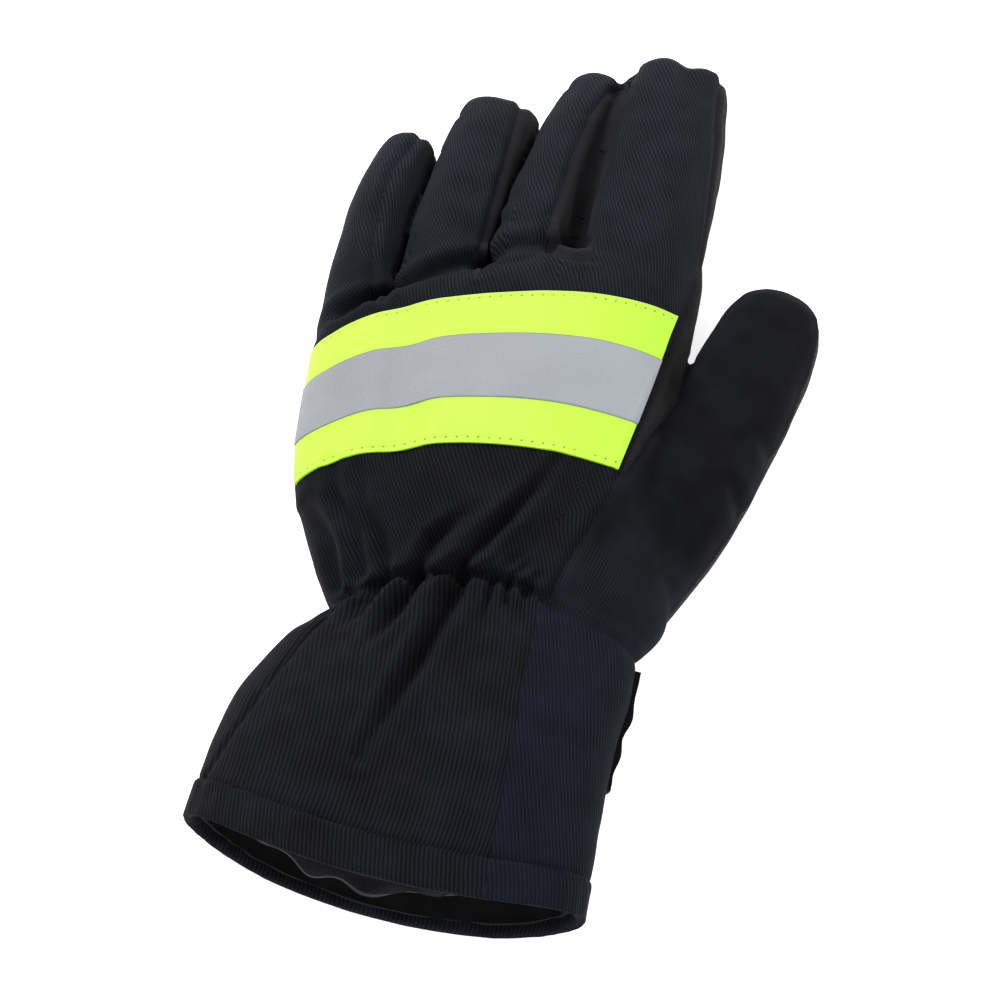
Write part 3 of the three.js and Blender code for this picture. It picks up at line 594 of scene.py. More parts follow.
# %% Seam lines
SEAMS = {
    "littleRight": [(-0.482, 0.73), (-0.535, 0.9), (-0.557, 1.04), (-0.557, 1.15), (-0.53, 1.25),
                    (-0.5, 1.5)],
    "ringRight": [(-0.235, 0.86), (-0.244, 1.02), (-0.25, 1.23), (-0.262, 1.41), (-0.285, 1.6)],
    "middleRight": [(0.0, 0.957), (-0.045, 0.975), (-0.072, 1.02), (-0.066, 1.09), (-0.064, 1.16),
                    (-0.064, 1.27), (-0.052, 1.41), (-0.026, 1.51), (-0.002, 1.565), (0.008, 1.585)],
    "indexLeft": [(0.035, 0.95), (0.073, 0.963), (0.068, 1.02), (0.044, 1.09), (0.033, 1.15), (0.028, 1.25),
                  (0.024, 1.42), (0.025, 1.51), (0.02, 1.565), (0.01, 1.585)],
    "indexRight": [(0.262, 1.8), (0.282, 1.58), (0.315, 1.42), (0.34, 1.25), (0.36, 1.06), (0.36, 0.91)],
    "tapeEnd": [(0.33, 0.65), (0.3, 0.36)],
    "thumbRoot": [(0.27, 0.26), (0.205, 0.06), (0.2, -0.2)],
    "thumbValley": [(0.312, 0.4), (0.345, 0.5), (0.372, 0.6), (0.395, 0.7), (0.398, 0.79)],
    "thumbCrotch": [(0.399, 0.85), (0.43, 0.95), (0.47, 1.2)],
    "thumbPalm": [(0.395, 0.79), (0.37, 0.6), (0.28, 0.3), (0.24, -0.2)],
}
beyond_thumb = [(1.2, -0.2), (1.2, 1.5), (0.5, 1.5)]
hidden_seam = SEAM_HEIGHT + 8


def slit_line(first, second, crotch):
    start = crotch * HAND_LENGTH
    end = HAND_LENGTH * min(first["tipY"], second["tipY"])
    ys = np.linspace(start, end, 24)
    line = [(float(slit_x(first, second, y)) / HAND_WIDTH, y / HAND_LENGTH) for y in ys]
    return line + [(line[-1][0], line[-1][1] + 0.05)]


def strip_between(seam, first, second):
    """On the first finger the strip shows up to its seam, on the second it stays hidden."""
    slit = slit_line(first, second, CROTCHES[first["name"]])
    web = (slit[0][0], slit[0][1] - 0.045)
    shown = seam + [slit[-1]] + slit[::-1] + [web]
    inside = second["width"] / 3
    middle = []
    for share in (1, 0.5, 0):
        y = web[1] + (second["tipY"] - web[1]) * share
        middle.append((float(finger_side(second, y * HAND_LENGTH, -1)) / HAND_WIDTH + inside, y))
    hidden = [(seam[0][0], web[1])] + slit + middle
    return [(shown, 1000), (hidden, hidden_seam)]


little, ring, middle, index, thumb = FINGERS
PANELS = [
    ("fourchette_little_ring", strip_between(SEAMS["littleRight"], little, ring)),
    ("fourchette_ring_middle", strip_between(SEAMS["ringRight"], ring, middle)),
    ("fourchette_middle_index", [(SEAMS["middleRight"] + SEAMS["indexLeft"][::-1], 1000)]),
    ("index_side", [(SEAMS["indexRight"] + SEAMS["tapeEnd"] + SEAMS["thumbValley"]
                     + SEAMS["thumbCrotch"] + [(0.6, 1.5), (0.6, 1.8)], 1000)]),
    ("thumb_back", [(SEAMS["tapeEnd"][1:] + SEAMS["thumbRoot"] + beyond_thumb
                     + SEAMS["thumbCrotch"][::-1] + SEAMS["thumbValley"][::-1], 1000)]),
]
thumb_front = SEAMS["thumbPalm"] + beyond_thumb + SEAMS["thumbCrotch"][::-1]


def inside_outline(x, y, outline):
    """Signed distance to an outline, negative inside."""
    away, _ = to_line(x, y, outline + outline[:1])
    crossings = np.zeros(x.shape, int)
    for (ax, ay), (bx, by) in zip(outline, outline[1:] + outline[:1]):
        ax, bx = ax * HAND_WIDTH, bx * HAND_WIDTH
        ay, by = ay * HAND_LENGTH, by * HAND_LENGTH
        spans = (ay > y) != (by > y)
        if ay != by:
            crossings += spans & (x < (bx - ax) * (y - ay) / (by - ay) + ax)
    return np.where(crossings % 2 == 1, -away, away)


def cut_along(grid, field):
    """Splits the edges that a field's zero line crosses and joins the new points."""
    points = own_frame(np.array([v.co for v in grid.verts]))
    values = field(*points.T)
    grid.verts.index_update()
    crossing = []
    for edge in grid.edges:
        a, b = edge.verts
        va, vb = values[a.index], values[b.index]
        if (va < 0) != (vb < 0):
            crossing.append((edge, a, va / (va - vb)))
    new = []
    for edge, start, share in crossing:
        share = min(max(share, 0.02), 0.98)
        new.append(bmesh.utils.edge_split(edge, start, share)[1])
    bmesh.ops.connect_verts(grid, verts=new)
    return len(new)


def face_middles(grid):
    return own_frame(np.array([f.calc_center_median() for f in grid.faces]))


grid = bmesh.new()
grid.from_mesh(skin.data)


def above_wrist(x, y, z):
    jagged = 0.7 * np.sin(x * 0.8) + 0.5 * np.sin(x * 1.7 + 1)
    return y - wrist_line(x) - jagged * smooth_between(z, 15, 25) * (1 - smooth_between(x, *ELASTIC_END))


def below_seam(x, y, z):
    return z - SEAM_HEIGHT


cuts = cut_along(grid, above_wrist)
middles = face_middles(grid)
low = above_wrist(*middles.T) < 0
grid.faces.ensure_lookup_table()
bmesh.ops.delete(grid, geom=[grid.faces[i] for i in np.flatnonzero(low)], context="FACES")
cuts += cut_along(grid, below_seam)


def panel_field(outlines):
    def field(x, y, z):
        parts = [np.maximum(inside_outline(x, y, outline), z - ceiling) for outline, ceiling in outlines]
        return np.maximum(np.minimum.reduce(parts), SEAM_HEIGHT - z)
    return field


fields = {name: panel_field(outlines) for name, outlines in PANELS}
fields["thumb_palm"] = lambda x, y, z: np.maximum(inside_outline(x, y, thumb_front), z - SEAM_HEIGHT)
for name, field in fields.items():
    cuts += cut_along(grid, field)
bmesh.ops.remove_doubles(grid, verts=grid.verts, dist=0.0003)
middles = face_middles(grid)
names = ["hand_back", "palm"] + list(fields)
owner = np.where(middles[:, 2] > SEAM_HEIGHT, 0, 1)
for i, name in enumerate(fields):
    inside = (fields[name](*middles.T) < 0) & (owner < 2)
    owner[inside] = i + 2
grid.faces.ensure_lookup_table()
for i, face in enumerate(grid.faces):
    face.material_index = int(owner[i])


def settle_islands(smallest=60):
    """A crumb of a panel that a cut left on its own joins the panel round it."""
    seen = set()
    moved = 0
    for face in grid.faces:
        if face in seen:
            continue
        island, queue, beside = [face], [face], []
        seen.add(face)
        while queue:
            for edge in queue.pop().edges:
                for other in edge.link_faces:
                    if other.material_index != face.material_index:
                        beside.append(other.material_index)
                    elif other not in seen:
                        seen.add(other)
                        island.append(other)
                        queue.append(other)
        if len(island) < smallest and beside:
            moved += 1
            panel = max(set(beside), key=beside.count)
            for crumb in island:
                crumb.material_index = panel
    return moved


print("crumbs settled:", settle_islands())
print("seam cuts:", cuts, "faces of each panel:", dict(zip(names, np.bincount(owner).tolist())))

# %% [markdown]
# A sewn seam pulls the cloth in. The points near a seam sink by an amount that fades with their
# distance to it, and the padding beside it stays proud, which gives each panel its soft edge.

# %% Sewn edges
SEAM_SINK = 0.85
SEAM_REACH = 1.25
seam_points = [v.co.copy() for v in grid.verts
               if len({f.material_index for f in v.link_faces}) > 1 or v.is_boundary]
tree = KDTree(len(seam_points))
for i, point in enumerate(seam_points):
    tree.insert(point, i)
tree.balance()
grid.normal_update()
for v in grid.verts:
    away = tree.find(v.co)[2] / MM
    lift = own_frame(np.array(v.co))[2]
    sink = SEAM_SINK * math.exp(-((away / SEAM_REACH) ** 2)) * min(1, max(0.25, lift / 12))
    sink -= 0.35 * math.exp(-(((away - 3.2) / 1.4) ** 2)) * min(1, max(0, lift / 12 - 0.3))
    v.co -= v.normal * sink * MM
    v.co.z = max(v.co.z, 0.0001)
grid.to_mesh(skin.data)
print("seam points:", len(seam_points))


# %% [markdown]
# ## Panels of the hand
# Each panel is taken out of the skin by its number and gets its thickness inwards. Its UV map is
# its place in the cloth, turned by the lean of the ribs on that panel.

# %% UV maps
def set_cloth_map(piece, along_weave, across_weave, lean):
    """The lean is the ribs' angle from +Y towards -X, in degrees."""
    turn = math.radians(lean)
    u = across_weave * math.cos(turn) + along_weave * math.sin(turn)
    v = along_weave * math.cos(turn) - across_weave * math.sin(turn)
    layer = piece.data.uv_layers.new(name="cloth")
    corners = np.empty(len(piece.data.loops), int)
    piece.data.loops.foreach_get("vertex_index", corners)
    layer.data.foreach_set("uv", np.stack([u[corners], v[corners]], axis=-1).ravel())


# %% Panels of the hand
LEANS = {"hand_back": 31, "palm": 0, "fourchette_little_ring": 24, "fourchette_ring_middle": 10,
         "fourchette_middle_index": 10, "index_side": 10, "thumb_back": -8, "thumb_palm": 0}
pieces = {}
for number, name in enumerate(names):
    part = bmesh.new()
    part.from_mesh(skin.data)
    bmesh.ops.delete(part, geom=[f for f in part.faces if f.material_index != number], context="FACES")
    bmesh.ops.dissolve_degenerate(part, dist=1e-6, edges=part.edges)
    for face in part.faces:
        face.material_index = 0
    mesh = bpy.data.meshes.new(name + "_cloth")
    part.to_mesh(mesh)
    part.free()
    piece = bpy.data.objects.new(name + "_cloth", mesh)
    bpy.context.collection.objects.link(piece)
    weave = np.empty(len(mesh.vertices) * 3)
    mesh.attributes["weave"].data.foreach_get("vector", weave)
    weave = weave.reshape(-1, 3)
    set_cloth_map(piece, weave[:, 1], weave[:, 0], LEANS[name])
    pieces[name] = piece
grid.free()
skin_corners = [v.co for v in skin.data.vertices]
skin_tree = BVHTree.FromPolygons(skin_corners, [p.vertices for p in skin.data.polygons])
bpy.data.objects.remove(skin)
for piece in pieces.values():
    thickened(piece, CLOTH)
print("panels:", {name: len(piece.data.polygons) for name, piece in pieces.items()})

# %% [markdown]
# ## Cuff
# The cuff is three panels round a flared tube. Here the rows and columns of a grid can follow the
# cloth, which gives even ribs and clean seams, so it is built as sheets from the same sections and
# pressed by the same folds. Each sheet's long edges turn in at its seams.

# %% Cuff panels
CUFF_LAST = len(cuff_rows) - 1
LAST_STEP = (CUFF_SECTIONS[-1]["along"] - CUFF_SECTIONS[-2]["along"]) * CUFF_LENGTH
HEM_PLACE = CUFF_LAST - HEM_WIDTH / LAST_STEP
CUFF_START = -0.35
CUFF_ROWS = 90
CUFF_LEAN = 15
CUFF_SEAMS = {"left": (-0.283, -0.53), "right": (0.185, 0.25)}
SIDE_SEAM = -0.55
TUCK = 10


def cuff_seam(name, place):
    start, end = CUFF_SEAMS[name]
    x = (start + (end - start) * place / CUFF_LAST) * CUFF_WIDTH
    left = through(cuff_rows, "left", place)
    right = through(cuff_rows, "right", place)
    across = np.clip((x - (left + right) / 2) / ((right - left) / 2), -1, 1)
    return np.arccos(signed_power(across, ROUNDNESS / 2))


CUFF_PANELS = {
    "back": (lambda p: cuff_seam("right", p), lambda p: cuff_seam("left", p), 90),
    "side": (lambda p: np.full(np.shape(p), SIDE_SEAM), lambda p: cuff_seam("right", p), 70),
    "palm": (lambda p: cuff_seam("left", p), lambda p: np.full(np.shape(p), 2 * np.pi + SIDE_SEAM), 170),
}


def grid_faces(rows, across, offset=0):
    return [(offset + i * across + j, offset + i * across + j + 1,
             offset + (i + 1) * across + j + 1, offset + (i + 1) * across + j)
            for i in range(rows - 1) for j in range(across - 1)]


def grid_normals(points):
    """Normals of a grid of points, facing out."""
    along = np.gradient(points, axis=0)
    across = np.gradient(points, axis=1)
    facing = np.cross(across, along)
    return facing / np.maximum(np.linalg.norm(facing, axis=-1, keepdims=True), 1e-9)


def outward(facing, points):
    """Flips normals that point at the middle of the glove."""
    centre = np.array([0, 0, HAND_HEIGHT * MIDDLE_SHARE])
    away = (points - centre) * np.array([1, 0, 1])
    return facing * np.sign(np.sum(facing * away) or 1)


def arc_lengths(points, axis):
    steps = np.linalg.norm(np.diff(points, axis=axis), axis=-1)
    zero = np.zeros_like(np.take(steps, [0], axis=axis))
    return np.cumsum(np.concatenate([zero, steps], axis=axis), axis=axis)


def sheet_piece(name, points, lean, thickness, smooth):
    """A sheet whose cloth map is measured on its smooth form, before the folds."""
    rows, across = points.shape[:2]
    piece = new_object(name, points.reshape(-1, 3), grid_faces(rows, across))
    u = arc_lengths(smooth, 1)
    u = (u - u[:, across // 2, None]).ravel() * MM
    v = arc_lengths(smooth, 0).ravel() * MM
    set_cloth_map(piece, v, u, lean)
    if facing_in(piece):
        piece.data.flip_normals()
    thickened(piece, thickness)
    return piece


def facing_in(piece):
    middle = placed([[0, 0, HAND_HEIGHT * MIDDLE_SHARE]])[0]
    total = 0
    for face in piece.data.polygons:
        away = face.center - Vector(middle)
        total += face.area * (face.normal.x * away.x + face.normal.z * away.z)
    return total < 0


def cuff_sheet(panel, start, end, rows):
    first, last, across = CUFF_PANELS[panel]
    place = np.linspace(start, end, rows)[:, None]
    share = np.linspace(0, 1, across)[None, :]
    angle = first(place) + (last(place) - first(place)) * share
    points = cloth_points(cuff_rows, np.maximum(place, 0), angle)
    points[..., 1] -= np.minimum(place, 0) * TUCK
    row = hand_rows[WRIST_ROW]
    at = np.clip((points[..., 0] - row["left"]) / (row["right"] - row["left"]), 0, 1)
    own_y = row["leftY"] + (row["rightY"] - row["leftY"]) * at - row["bow"] * 4 * at * (1 - at)
    points[..., 1] += (wrist_line(points[..., 0]) - own_y) * (1 - smooth_between(place, 0, 1.6))
    smooth = points.copy()
    facing = outward(grid_normals(points), points)
    moved = pushed(points.reshape(-1, 3), facing.reshape(-1, 3)).reshape(points.shape)
    from_edge = np.minimum(arc_lengths(points, 1), arc_lengths(points[:, ::-1], 1)[:, ::-1])
    from_end = np.minimum(arc_lengths(points, 0), arc_lengths(points[::-1], 0)[::-1])
    lift = np.clip(points[..., 2] / 12, 0.2, 1)
    above_seam = points[..., 1] - wrist_line(points[..., 0])
    to_end = np.where(place < HEM_PLACE / 2, np.abs(above_seam), from_end)
    near_seams = np.exp(-((from_edge / SEAM_REACH) ** 2)) + 0.6 * np.exp(-((to_end / SEAM_REACH) ** 2))
    sink = SEAM_SINK * lift * near_seams + 1.1 * smooth_between(above_seam, -0.5, 2.5)
    moved -= facing * sink[..., None]
    moved[..., 2] = np.maximum(moved[..., 2], 0.1)
    return moved, smooth


for panel in CUFF_PANELS:
    points, smooth = cuff_sheet(panel, CUFF_START, HEM_PLACE, CUFF_ROWS)
    pieces["cuff_" + panel] = sheet_piece(f"cuff_{panel}_cloth", points, CUFF_LEAN, CLOTH, smooth)
print("cuff rows to the hem:", CUFF_ROWS)

# %% [markdown]
# ## Hem
# The cuff's edge is a band turned over thick padding. Its section is a rounded slab, swept round
# the mouth in one length for each panel, with soft dimples where the stitching pulls it.

# %% Hem bands
HEM_OUT = 0.6
HEM_IN = 3.4
HEM_LEAN = -12


def hem_section(count=30):
    """Rounded slab: a share of the hem's width, and a share of its thickness."""
    angle = 2 * np.pi * np.arange(count) / count
    along = signed_power(np.cos(angle), 2 / 3.2)
    out = signed_power(np.sin(angle), 2 / 2.6)
    return 0.5 + 0.5 * along, out


def hem_band(panel):
    first, last, across = CUFF_PANELS[panel]
    along, out = hem_section()
    place = (HEM_PLACE + (CUFF_LAST - HEM_PLACE) * along)[:, None]
    share = np.linspace(0, 1, across)[None, :]
    seam = np.full_like(place, HEM_PLACE)
    angle = first(seam) + (last(seam) - first(seam)) * share
    depth = np.where(out > 0, HEM_OUT * out, HEM_IN * out)[:, None]
    surface = cloth_points(cuff_rows, place, angle, depth)
    bump = np.array([noise.noise(Vector((a * 9, b * 2, 0))) for a, b in
                     zip(np.broadcast_to(angle, surface.shape[:2]).ravel(),
                         np.broadcast_to(out[:, None], surface.shape[:2]).ravel())])
    away = surface - cloth_points(cuff_rows, place, angle, depth - 1)
    surface = surface + away * 0.5 * bump.reshape(surface.shape[:2])[..., None]
    surface[..., 2] = np.maximum(surface[..., 2], 0.05)
    count = len(along)
    faces = []
    for i in range(count):
        k = (i + 1) % count
        faces += [(i * across + j, i * across + j + 1, k * across + j + 1, k * across + j)
                  for j in range(across - 1)]
    faces.append(tuple(i * across for i in range(count)))
    faces.append(tuple(i * across + across - 1 for i in range(count))[::-1])
    piece = new_object(f"hem_{panel}_cloth", surface.reshape(-1, 3), faces)
    u = arc_lengths(surface, 1)
    u = (u - u[:, across // 2, None]).ravel() * MM
    v = np.broadcast_to(arc_lengths(surface, 0), surface.shape[:2]).ravel() * MM
    set_cloth_map(piece, v, u, HEM_LEAN)
    only(piece)
    bpy.ops.object.mode_set(mode="EDIT")
    bpy.ops.mesh.select_all(action="SELECT")
    bpy.ops.mesh.normals_make_consistent(inside=False)
    bpy.ops.object.mode_set(mode="OBJECT")
    smooth_shaded(piece)
    return piece


for panel in CUFF_PANELS:
    pieces["hem_" + panel] = hem_band(panel)
print("hem thickness in mm:", HEM_OUT + HEM_IN)

# %% [markdown]
# ## Lining
# The lining is soft and too long for the cuff, so it creeps into wrinkles and hangs from the roof
# of the mouth. It is a tube inside the cuff whose roof sags, crossed by waves that don't repeat.

# %% Lining
LINING_LENGTH = 66
LINING_CLOTH = 1.3


def lining_tube():
    around, steps = 260, 60
    angle = 2 * np.pi * np.arange(around) / around
    depth = np.linspace(2.2, LINING_LENGTH, steps)[:, None]
    place = CUFF_LAST - depth / CUFF_LENGTH * CUFF_LAST
    roof = np.maximum(np.sin(angle), 0)[None, :]
    x = np.cos(angle)[None, :]
    sag = 10 * roof**1.5 * np.exp(-(((x + 0.2) / 0.6) ** 2)) * np.exp(-((depth - 3) / 14) ** 2)
    waves = 0.9 * np.sin(23 * angle + 2 * np.sin(5 * angle) + 0.12 * depth)
    waves = waves + 0.8 * np.sin(9 * angle - 0.3 * depth + 1) + 0.5 * np.sin(0.7 * depth + 6 * angle)
    inward = 2.6 + HEM_IN * np.exp(-((depth / 14) ** 2)) + 3.0 * smooth_between(depth, 2, 12) + sag
    inward = inward + waves * (0.35 + 0.65 * roof) * smooth_between(depth, 0, 5)
    shell = cloth_points(cuff_rows, place, angle[None, :])
    folds = pressed(*shell.reshape(-1, 3).T).reshape(shell.shape[:2])
    inward = inward + (1.5 * np.maximum(folds, 0) + 1.6) * smooth_between(depth, 4, 14)
    points = cloth_points(cuff_rows, place, angle[None, :], -inward)
    slide = 4.6 * roof**2 * np.exp(-(((x + 0.25) / 0.5) ** 2)) * np.exp(-((depth / 10) ** 2))
    points[..., 1] -= slide * (0.8 + 0.4 * np.sin(17 * angle)[None, :]) - 1.0
    points[..., 2] = np.maximum(points[..., 2], CLOTH + 0.3)
    return points


lining_points = lining_tube()
count, around = lining_points.shape[:2]
faces = [(i * around + j, i * around + (j + 1) % around,
          (i + 1) * around + (j + 1) % around, (i + 1) * around + j)
         for i in range(count - 1) for j in range(around)]
lining = new_object("cuff_lining_cloth", lining_points.reshape(-1, 3), faces)
along_cloth, across_cloth = (arc_lengths(lining_points, axis).ravel() * MM for axis in (0, 1))
set_cloth_map(lining, along_cloth, across_cloth, 0)
if not facing_in(lining):
    lining.data.flip_normals()
thickened(lining, LINING_CLOTH)
pieces["cuff_lining"] = lining
print("lining points:", count * around)

# %% [markdown]
# ## Strap
# A webbing strap crosses the palm side of the cuff. From above only its end shows, standing out a
# little at the thumb side.

# %% Strap
STRAP_START = 0.06
STRAP_WIDTH = 36
STRAP_THICKNESS = 2.0
STRAP_ANGLES = (-2.6, -0.02)


def strap_band():
    rows, across = 40, 110
    left_y = -through(cuff_rows, "leftY", np.linspace(0, CUFF_LAST, 200)) / CUFF_LENGTH
    along = STRAP_START + STRAP_WIDTH / CUFF_LENGTH * np.linspace(0, 1, rows)
    place = np.interp(along, left_y, np.linspace(0, CUFF_LAST, 200))[:, None]
    angle = np.linspace(*STRAP_ANGLES, across)[None, :]
    edge = np.minimum(np.linspace(0, 1, rows), 1 - np.linspace(0, 1, rows))[:, None]
    rounding = 0.6 * np.exp(-((edge / 0.05) ** 2))
    end = np.exp(-(((angle - STRAP_ANGLES[1]) / 0.12) ** 2))
    wave = 0.5 * np.sin(along * 40)[:, None]
    out = 1.5 - rounding + (0.1 + wave) * end
    points = cloth_points(cuff_rows, place, angle, out)
    points[..., 2] = np.maximum(points[..., 2], 0.05)
    return points


strap_points = strap_band()
pieces["wrist_strap"] = sheet_piece("wrist_strap_webbing", strap_points, 0, STRAP_THICKNESS, strap_points)
print("strap length in mm:", round(float(arc_lengths(strap_points, 1)[0, -1])))

# %% [markdown]
# ## Tape
# The bright tape is sewn across the knuckles and bridges small folds, because it is stiffer than
# the cloth. Its grid is laid on the finished skin by rays cast inwards, smoothed a little, and
# lifted by its own thickness. The silver strip lies on it in the same way.

# %% Tape
TAPE_END = [(0.283, 0.3), (0.346, 1)]
TAPE_START_ANGLE = 2.98
TAPE_THICKNESS = 0.8
SILVER_THICKNESS = 0.35
SILVER_SHARE = 0.4
TAPE_COLUMNS = 150
CALMING_STEPS = 26


def end_angle(place):
    """Where the tape's cut end crosses a section."""
    (ax, ay), (bx, by) = TAPE_END
    angles = np.linspace(0.3, 1.5, 200)
    points = cloth_points(hand_rows, np.full(200, place), angles)
    line = (ax + (bx - ax) * (points[:, 1] / HAND_LENGTH - ay) / (by - ay)) * HAND_WIDTH
    return float(np.interp(0, (line - points[:, 0]), angles))


def tape_grid(low, high, rows, across, gap):
    place = np.linspace(TAPE_ROWS[0] + (TAPE_ROWS[1] - TAPE_ROWS[0]) * low,
                        TAPE_ROWS[0] + (TAPE_ROWS[1] - TAPE_ROWS[0]) * high, rows)
    ends = np.array([end_angle(p) for p in place])[:, None]
    angle = ends + (TAPE_START_ANGLE - ends) * np.linspace(0, 1, across)[None, :]
    outer = cloth_points(hand_rows, place[:, None], angle, 9)
    inner = cloth_points(hand_rows, place[:, None], angle, -6)
    laid = np.empty_like(outer)
    for i in range(rows):
        for j in range(across):
            start, end = Vector(placed(outer[i, j])), Vector(placed(inner[i, j]))
            hit = skin_tree.ray_cast(start, end - start)[0]
            laid[i, j] = own_frame(np.array(hit)) if hit else (outer[i, j] + inner[i, j]) / 2
    facing = outer - inner
    facing /= np.linalg.norm(facing, axis=-1, keepdims=True)
    height = np.sum((laid - inner) * facing, axis=-1)
    calm = height.copy()
    for _ in range(CALMING_STEPS):
        edge = np.pad(calm, 1, mode="edge")
        calm = (edge[:-2, 1:-1] + edge[2:, 1:-1] + edge[1:-1, :-2] + edge[1:-1, 2:]) / 4
    return inner + facing * (np.maximum(calm, height) + gap)[..., None]


def tape_piece(name, low, high, rows, gap, thickness):
    points = tape_grid(low, high, rows, TAPE_COLUMNS, gap + thickness)
    piece = new_object(name, points.reshape(-1, 3), grid_faces(rows, TAPE_COLUMNS))
    u = arc_lengths(points, 1)
    v = arc_lengths(points, 0)
    width = v[-1].mean()
    piece["width"] = float(width)
    v = (v / v[-1] - 0.5) * width
    set_cloth_map(piece, v.ravel() * MM, u.ravel() * MM, 0)
    if facing_in(piece):
        piece.data.flip_normals()
    thickened(piece, thickness, 50)
    print(name, "width in mm:", round(float(width), 1), "length:", round(float(u[:, -1].mean())))
    return piece


pieces["tape_yellow"] = tape_piece("tape_yellow_band", 0, 1, 60, 0.1, TAPE_THICKNESS)
silver_low, silver_high = (1 - SILVER_SHARE) / 2, (1 + SILVER_SHARE) / 2
pieces["tape_silver"] = tape_piece("tape_silver_strip", silver_low, silver_high, 30,
                                   0.1 + TAPE_THICKNESS, SILVER_THICKNESS)

# %% [markdown]
# ## Finishes
# Shader maths reads best as plain Python. A `Signal` wraps a socket, and its operators add the
# Math nodes, so a mask can be written as `1 - ribs`. Everything else comes from one method that
# takes a node's type, its settings and the values or links of its sockets.

# %% Shader helpers
class Signal:
    """A socket that Python's operators work on."""

    def __init__(self, finish, socket):
        self.finish = finish
        self.socket = socket

    def math(self, operation, *others, **settings):
        settings["operation"] = operation
        node = self.finish.node("ShaderNodeMath", settings, {i: v for i, v in enumerate((self, *others))})
        return Signal(self.finish, node.outputs[0])

    def __add__(self, other):
        return self.math("ADD", other)

    def __mul__(self, other):
        return self.math("MULTIPLY", other)

    def __sub__(self, other):
        return self.math("SUBTRACT", other)

    def __rsub__(self, other):
        return self * -1 + other

    def __truediv__(self, other):
        return self.math("DIVIDE", other)

    def __pow__(self, other):
        return self.math("POWER", other)

    __radd__ = __add__
    __rmul__ = __mul__

    def clamped(self):
        return self.math("MULTIPLY", 1, use_clamp=True)


class Finish:
    """A material and the method that adds its nodes."""

    def __init__(self, name):
        self.material = bpy.data.materials.new(name)
        self.material.use_nodes = True
        self.nodes = self.material.node_tree.nodes
        self.links = self.material.node_tree.links
        self.shader = self.nodes["Principled BSDF"]

    def link(self, value, socket):
        if isinstance(value, Signal):
            self.links.new(value.socket, socket)
        elif hasattr(value, "is_output"):
            self.links.new(value, socket)
        else:
            socket.default_value = value

    def node(self, kind, settings=None, sockets=None):
        node = self.nodes.new(kind)
        for name, value in (settings or {}).items():
            setattr(node, name, value)
        for name, value in (sockets or {}).items():
            self.link(value, node.inputs[name])
        return node

    def parts(self, vector):
        """The X, Y and Z of a vector."""
        return [Signal(self, part) for part in self.node("ShaderNodeSeparateXYZ", None, {0: vector}).outputs]

    def map_vector(self):
        return self.node("ShaderNodeUVMap", {"uv_map": "cloth"}).outputs[0]

    def cloth_map(self):
        return self.parts(self.map_vector())[:2]

    def object_vector(self):
        return self.node("ShaderNodeTexCoord").outputs["Object"]

    def noise(self, vector, scale, detail=2.0, roughness=0.5):
        sockets = {"Vector": vector, "Scale": scale, "Detail": detail, "Roughness": roughness}
        return Signal(self, self.node("ShaderNodeTexNoise", None, sockets).outputs["Fac"])

    def mix(self, factor, first, second):
        node = self.node("ShaderNodeMix", {"data_type": "RGBA"}, {0: factor, 6: first, 7: second})
        return node.outputs[2]

    def bump(self, height, distance, strength=1.0, normal=None):
        sockets = {"Height": height, "Distance": distance, "Strength": strength}
        if normal is not None:
            sockets["Normal"] = normal
        return self.node("ShaderNodeBump", None, sockets).outputs[0]

    def set(self, **sockets):
        for name, value in sockets.items():
            self.link(value, self.shader.inputs[name.replace("_", " ")])


# %% [markdown]
# ## Twill
# The shell is a heavy twill: raised ribs with a dark line between them, fibres that catch the
# light, and a colour that drifts at random from charcoal to blue. A painted highlight makes the
# fingers paler and bluer. The ribs are a sine across the cloth map, bent a little by noise so that
# they wander as woven ribs do.

# %% Twill
RIB = 0.0013


def rgb(red, green, blue):
    return (red, green, blue, 1)


# Colours of the painted highlight that makes the fingers paler and bluer.
FINGER_HIGHLIGHT_DARK = rgb(0.0042, 0.0047, 0.0062)
FINGER_HIGHLIGHT_LIGHT = rgb(0.0275, 0.0320, 0.0475)


def twill(name, dark, light, tint, tint_amount, plain_from=None, highlight_from=None):
    """From the Y place plain_from on, ribs fade out. From highlight_from on, a painted highlight
    makes the cloth paler and bluer.
    """
    finish = Finish(name)
    across, along = finish.cloth_map()
    place = finish.object_vector()
    wander = finish.noise(place, 260, 2)
    ribs = ((across / RIB + wander * 0.5) * (2 * math.pi)).math("SINE") * 0.5 + 0.5
    fine = finish.noise(finish.map_vector(), 3600, 3, 0.7)
    thread = ((along / 0.0007 + across / 0.0011 + wander) * (2 * math.pi)).math("SINE") * 0.5 + 0.5
    broad = finish.noise(place, 22, 3)
    patches = finish.noise(place, 90, 4)
    if plain_from is not None:
        ribs = ribs * (1 - (finish.parts(place)[1] - plain_from) / 0.02).clamped() + 0.3
    lit = (ribs * (fine * 0.9 + thread * 0.3) * 0.75 + fine * 0.25 + patches * 0.45 - 0.32).clamped()
    base = finish.mix(lit, dark, light)
    base = finish.mix(((broad - 0.45) * tint_amount).clamped() * lit, base, tint)
    if highlight_from is not None:
        # Painted highlight: past this Y place the fingers are painted paler and bluer, as light from above
        # falls on them.
        finger_highlight = ((finish.parts(place)[1] - highlight_from) / 0.07).clamped()
        base = finish.mix(finger_highlight, base, finish.mix(lit, FINGER_HIGHLIGHT_DARK, FINGER_HIGHLIGHT_LIGHT))
    height = ribs * 0.6 + thread * ribs * 0.3 + fine * 0.5
    soft = finish.bump(patches, 0.0012, 0.35)
    finish.set(Base_Color=base, Roughness=0.86 + fine * 0.1, Normal=finish.bump(height, 0.00028, 0.8, soft))
    finish.set(Sheen_Weight=0.015, Sheen_Roughness=0.5, Specular_IOR_Level=0.06)
    return finish.material


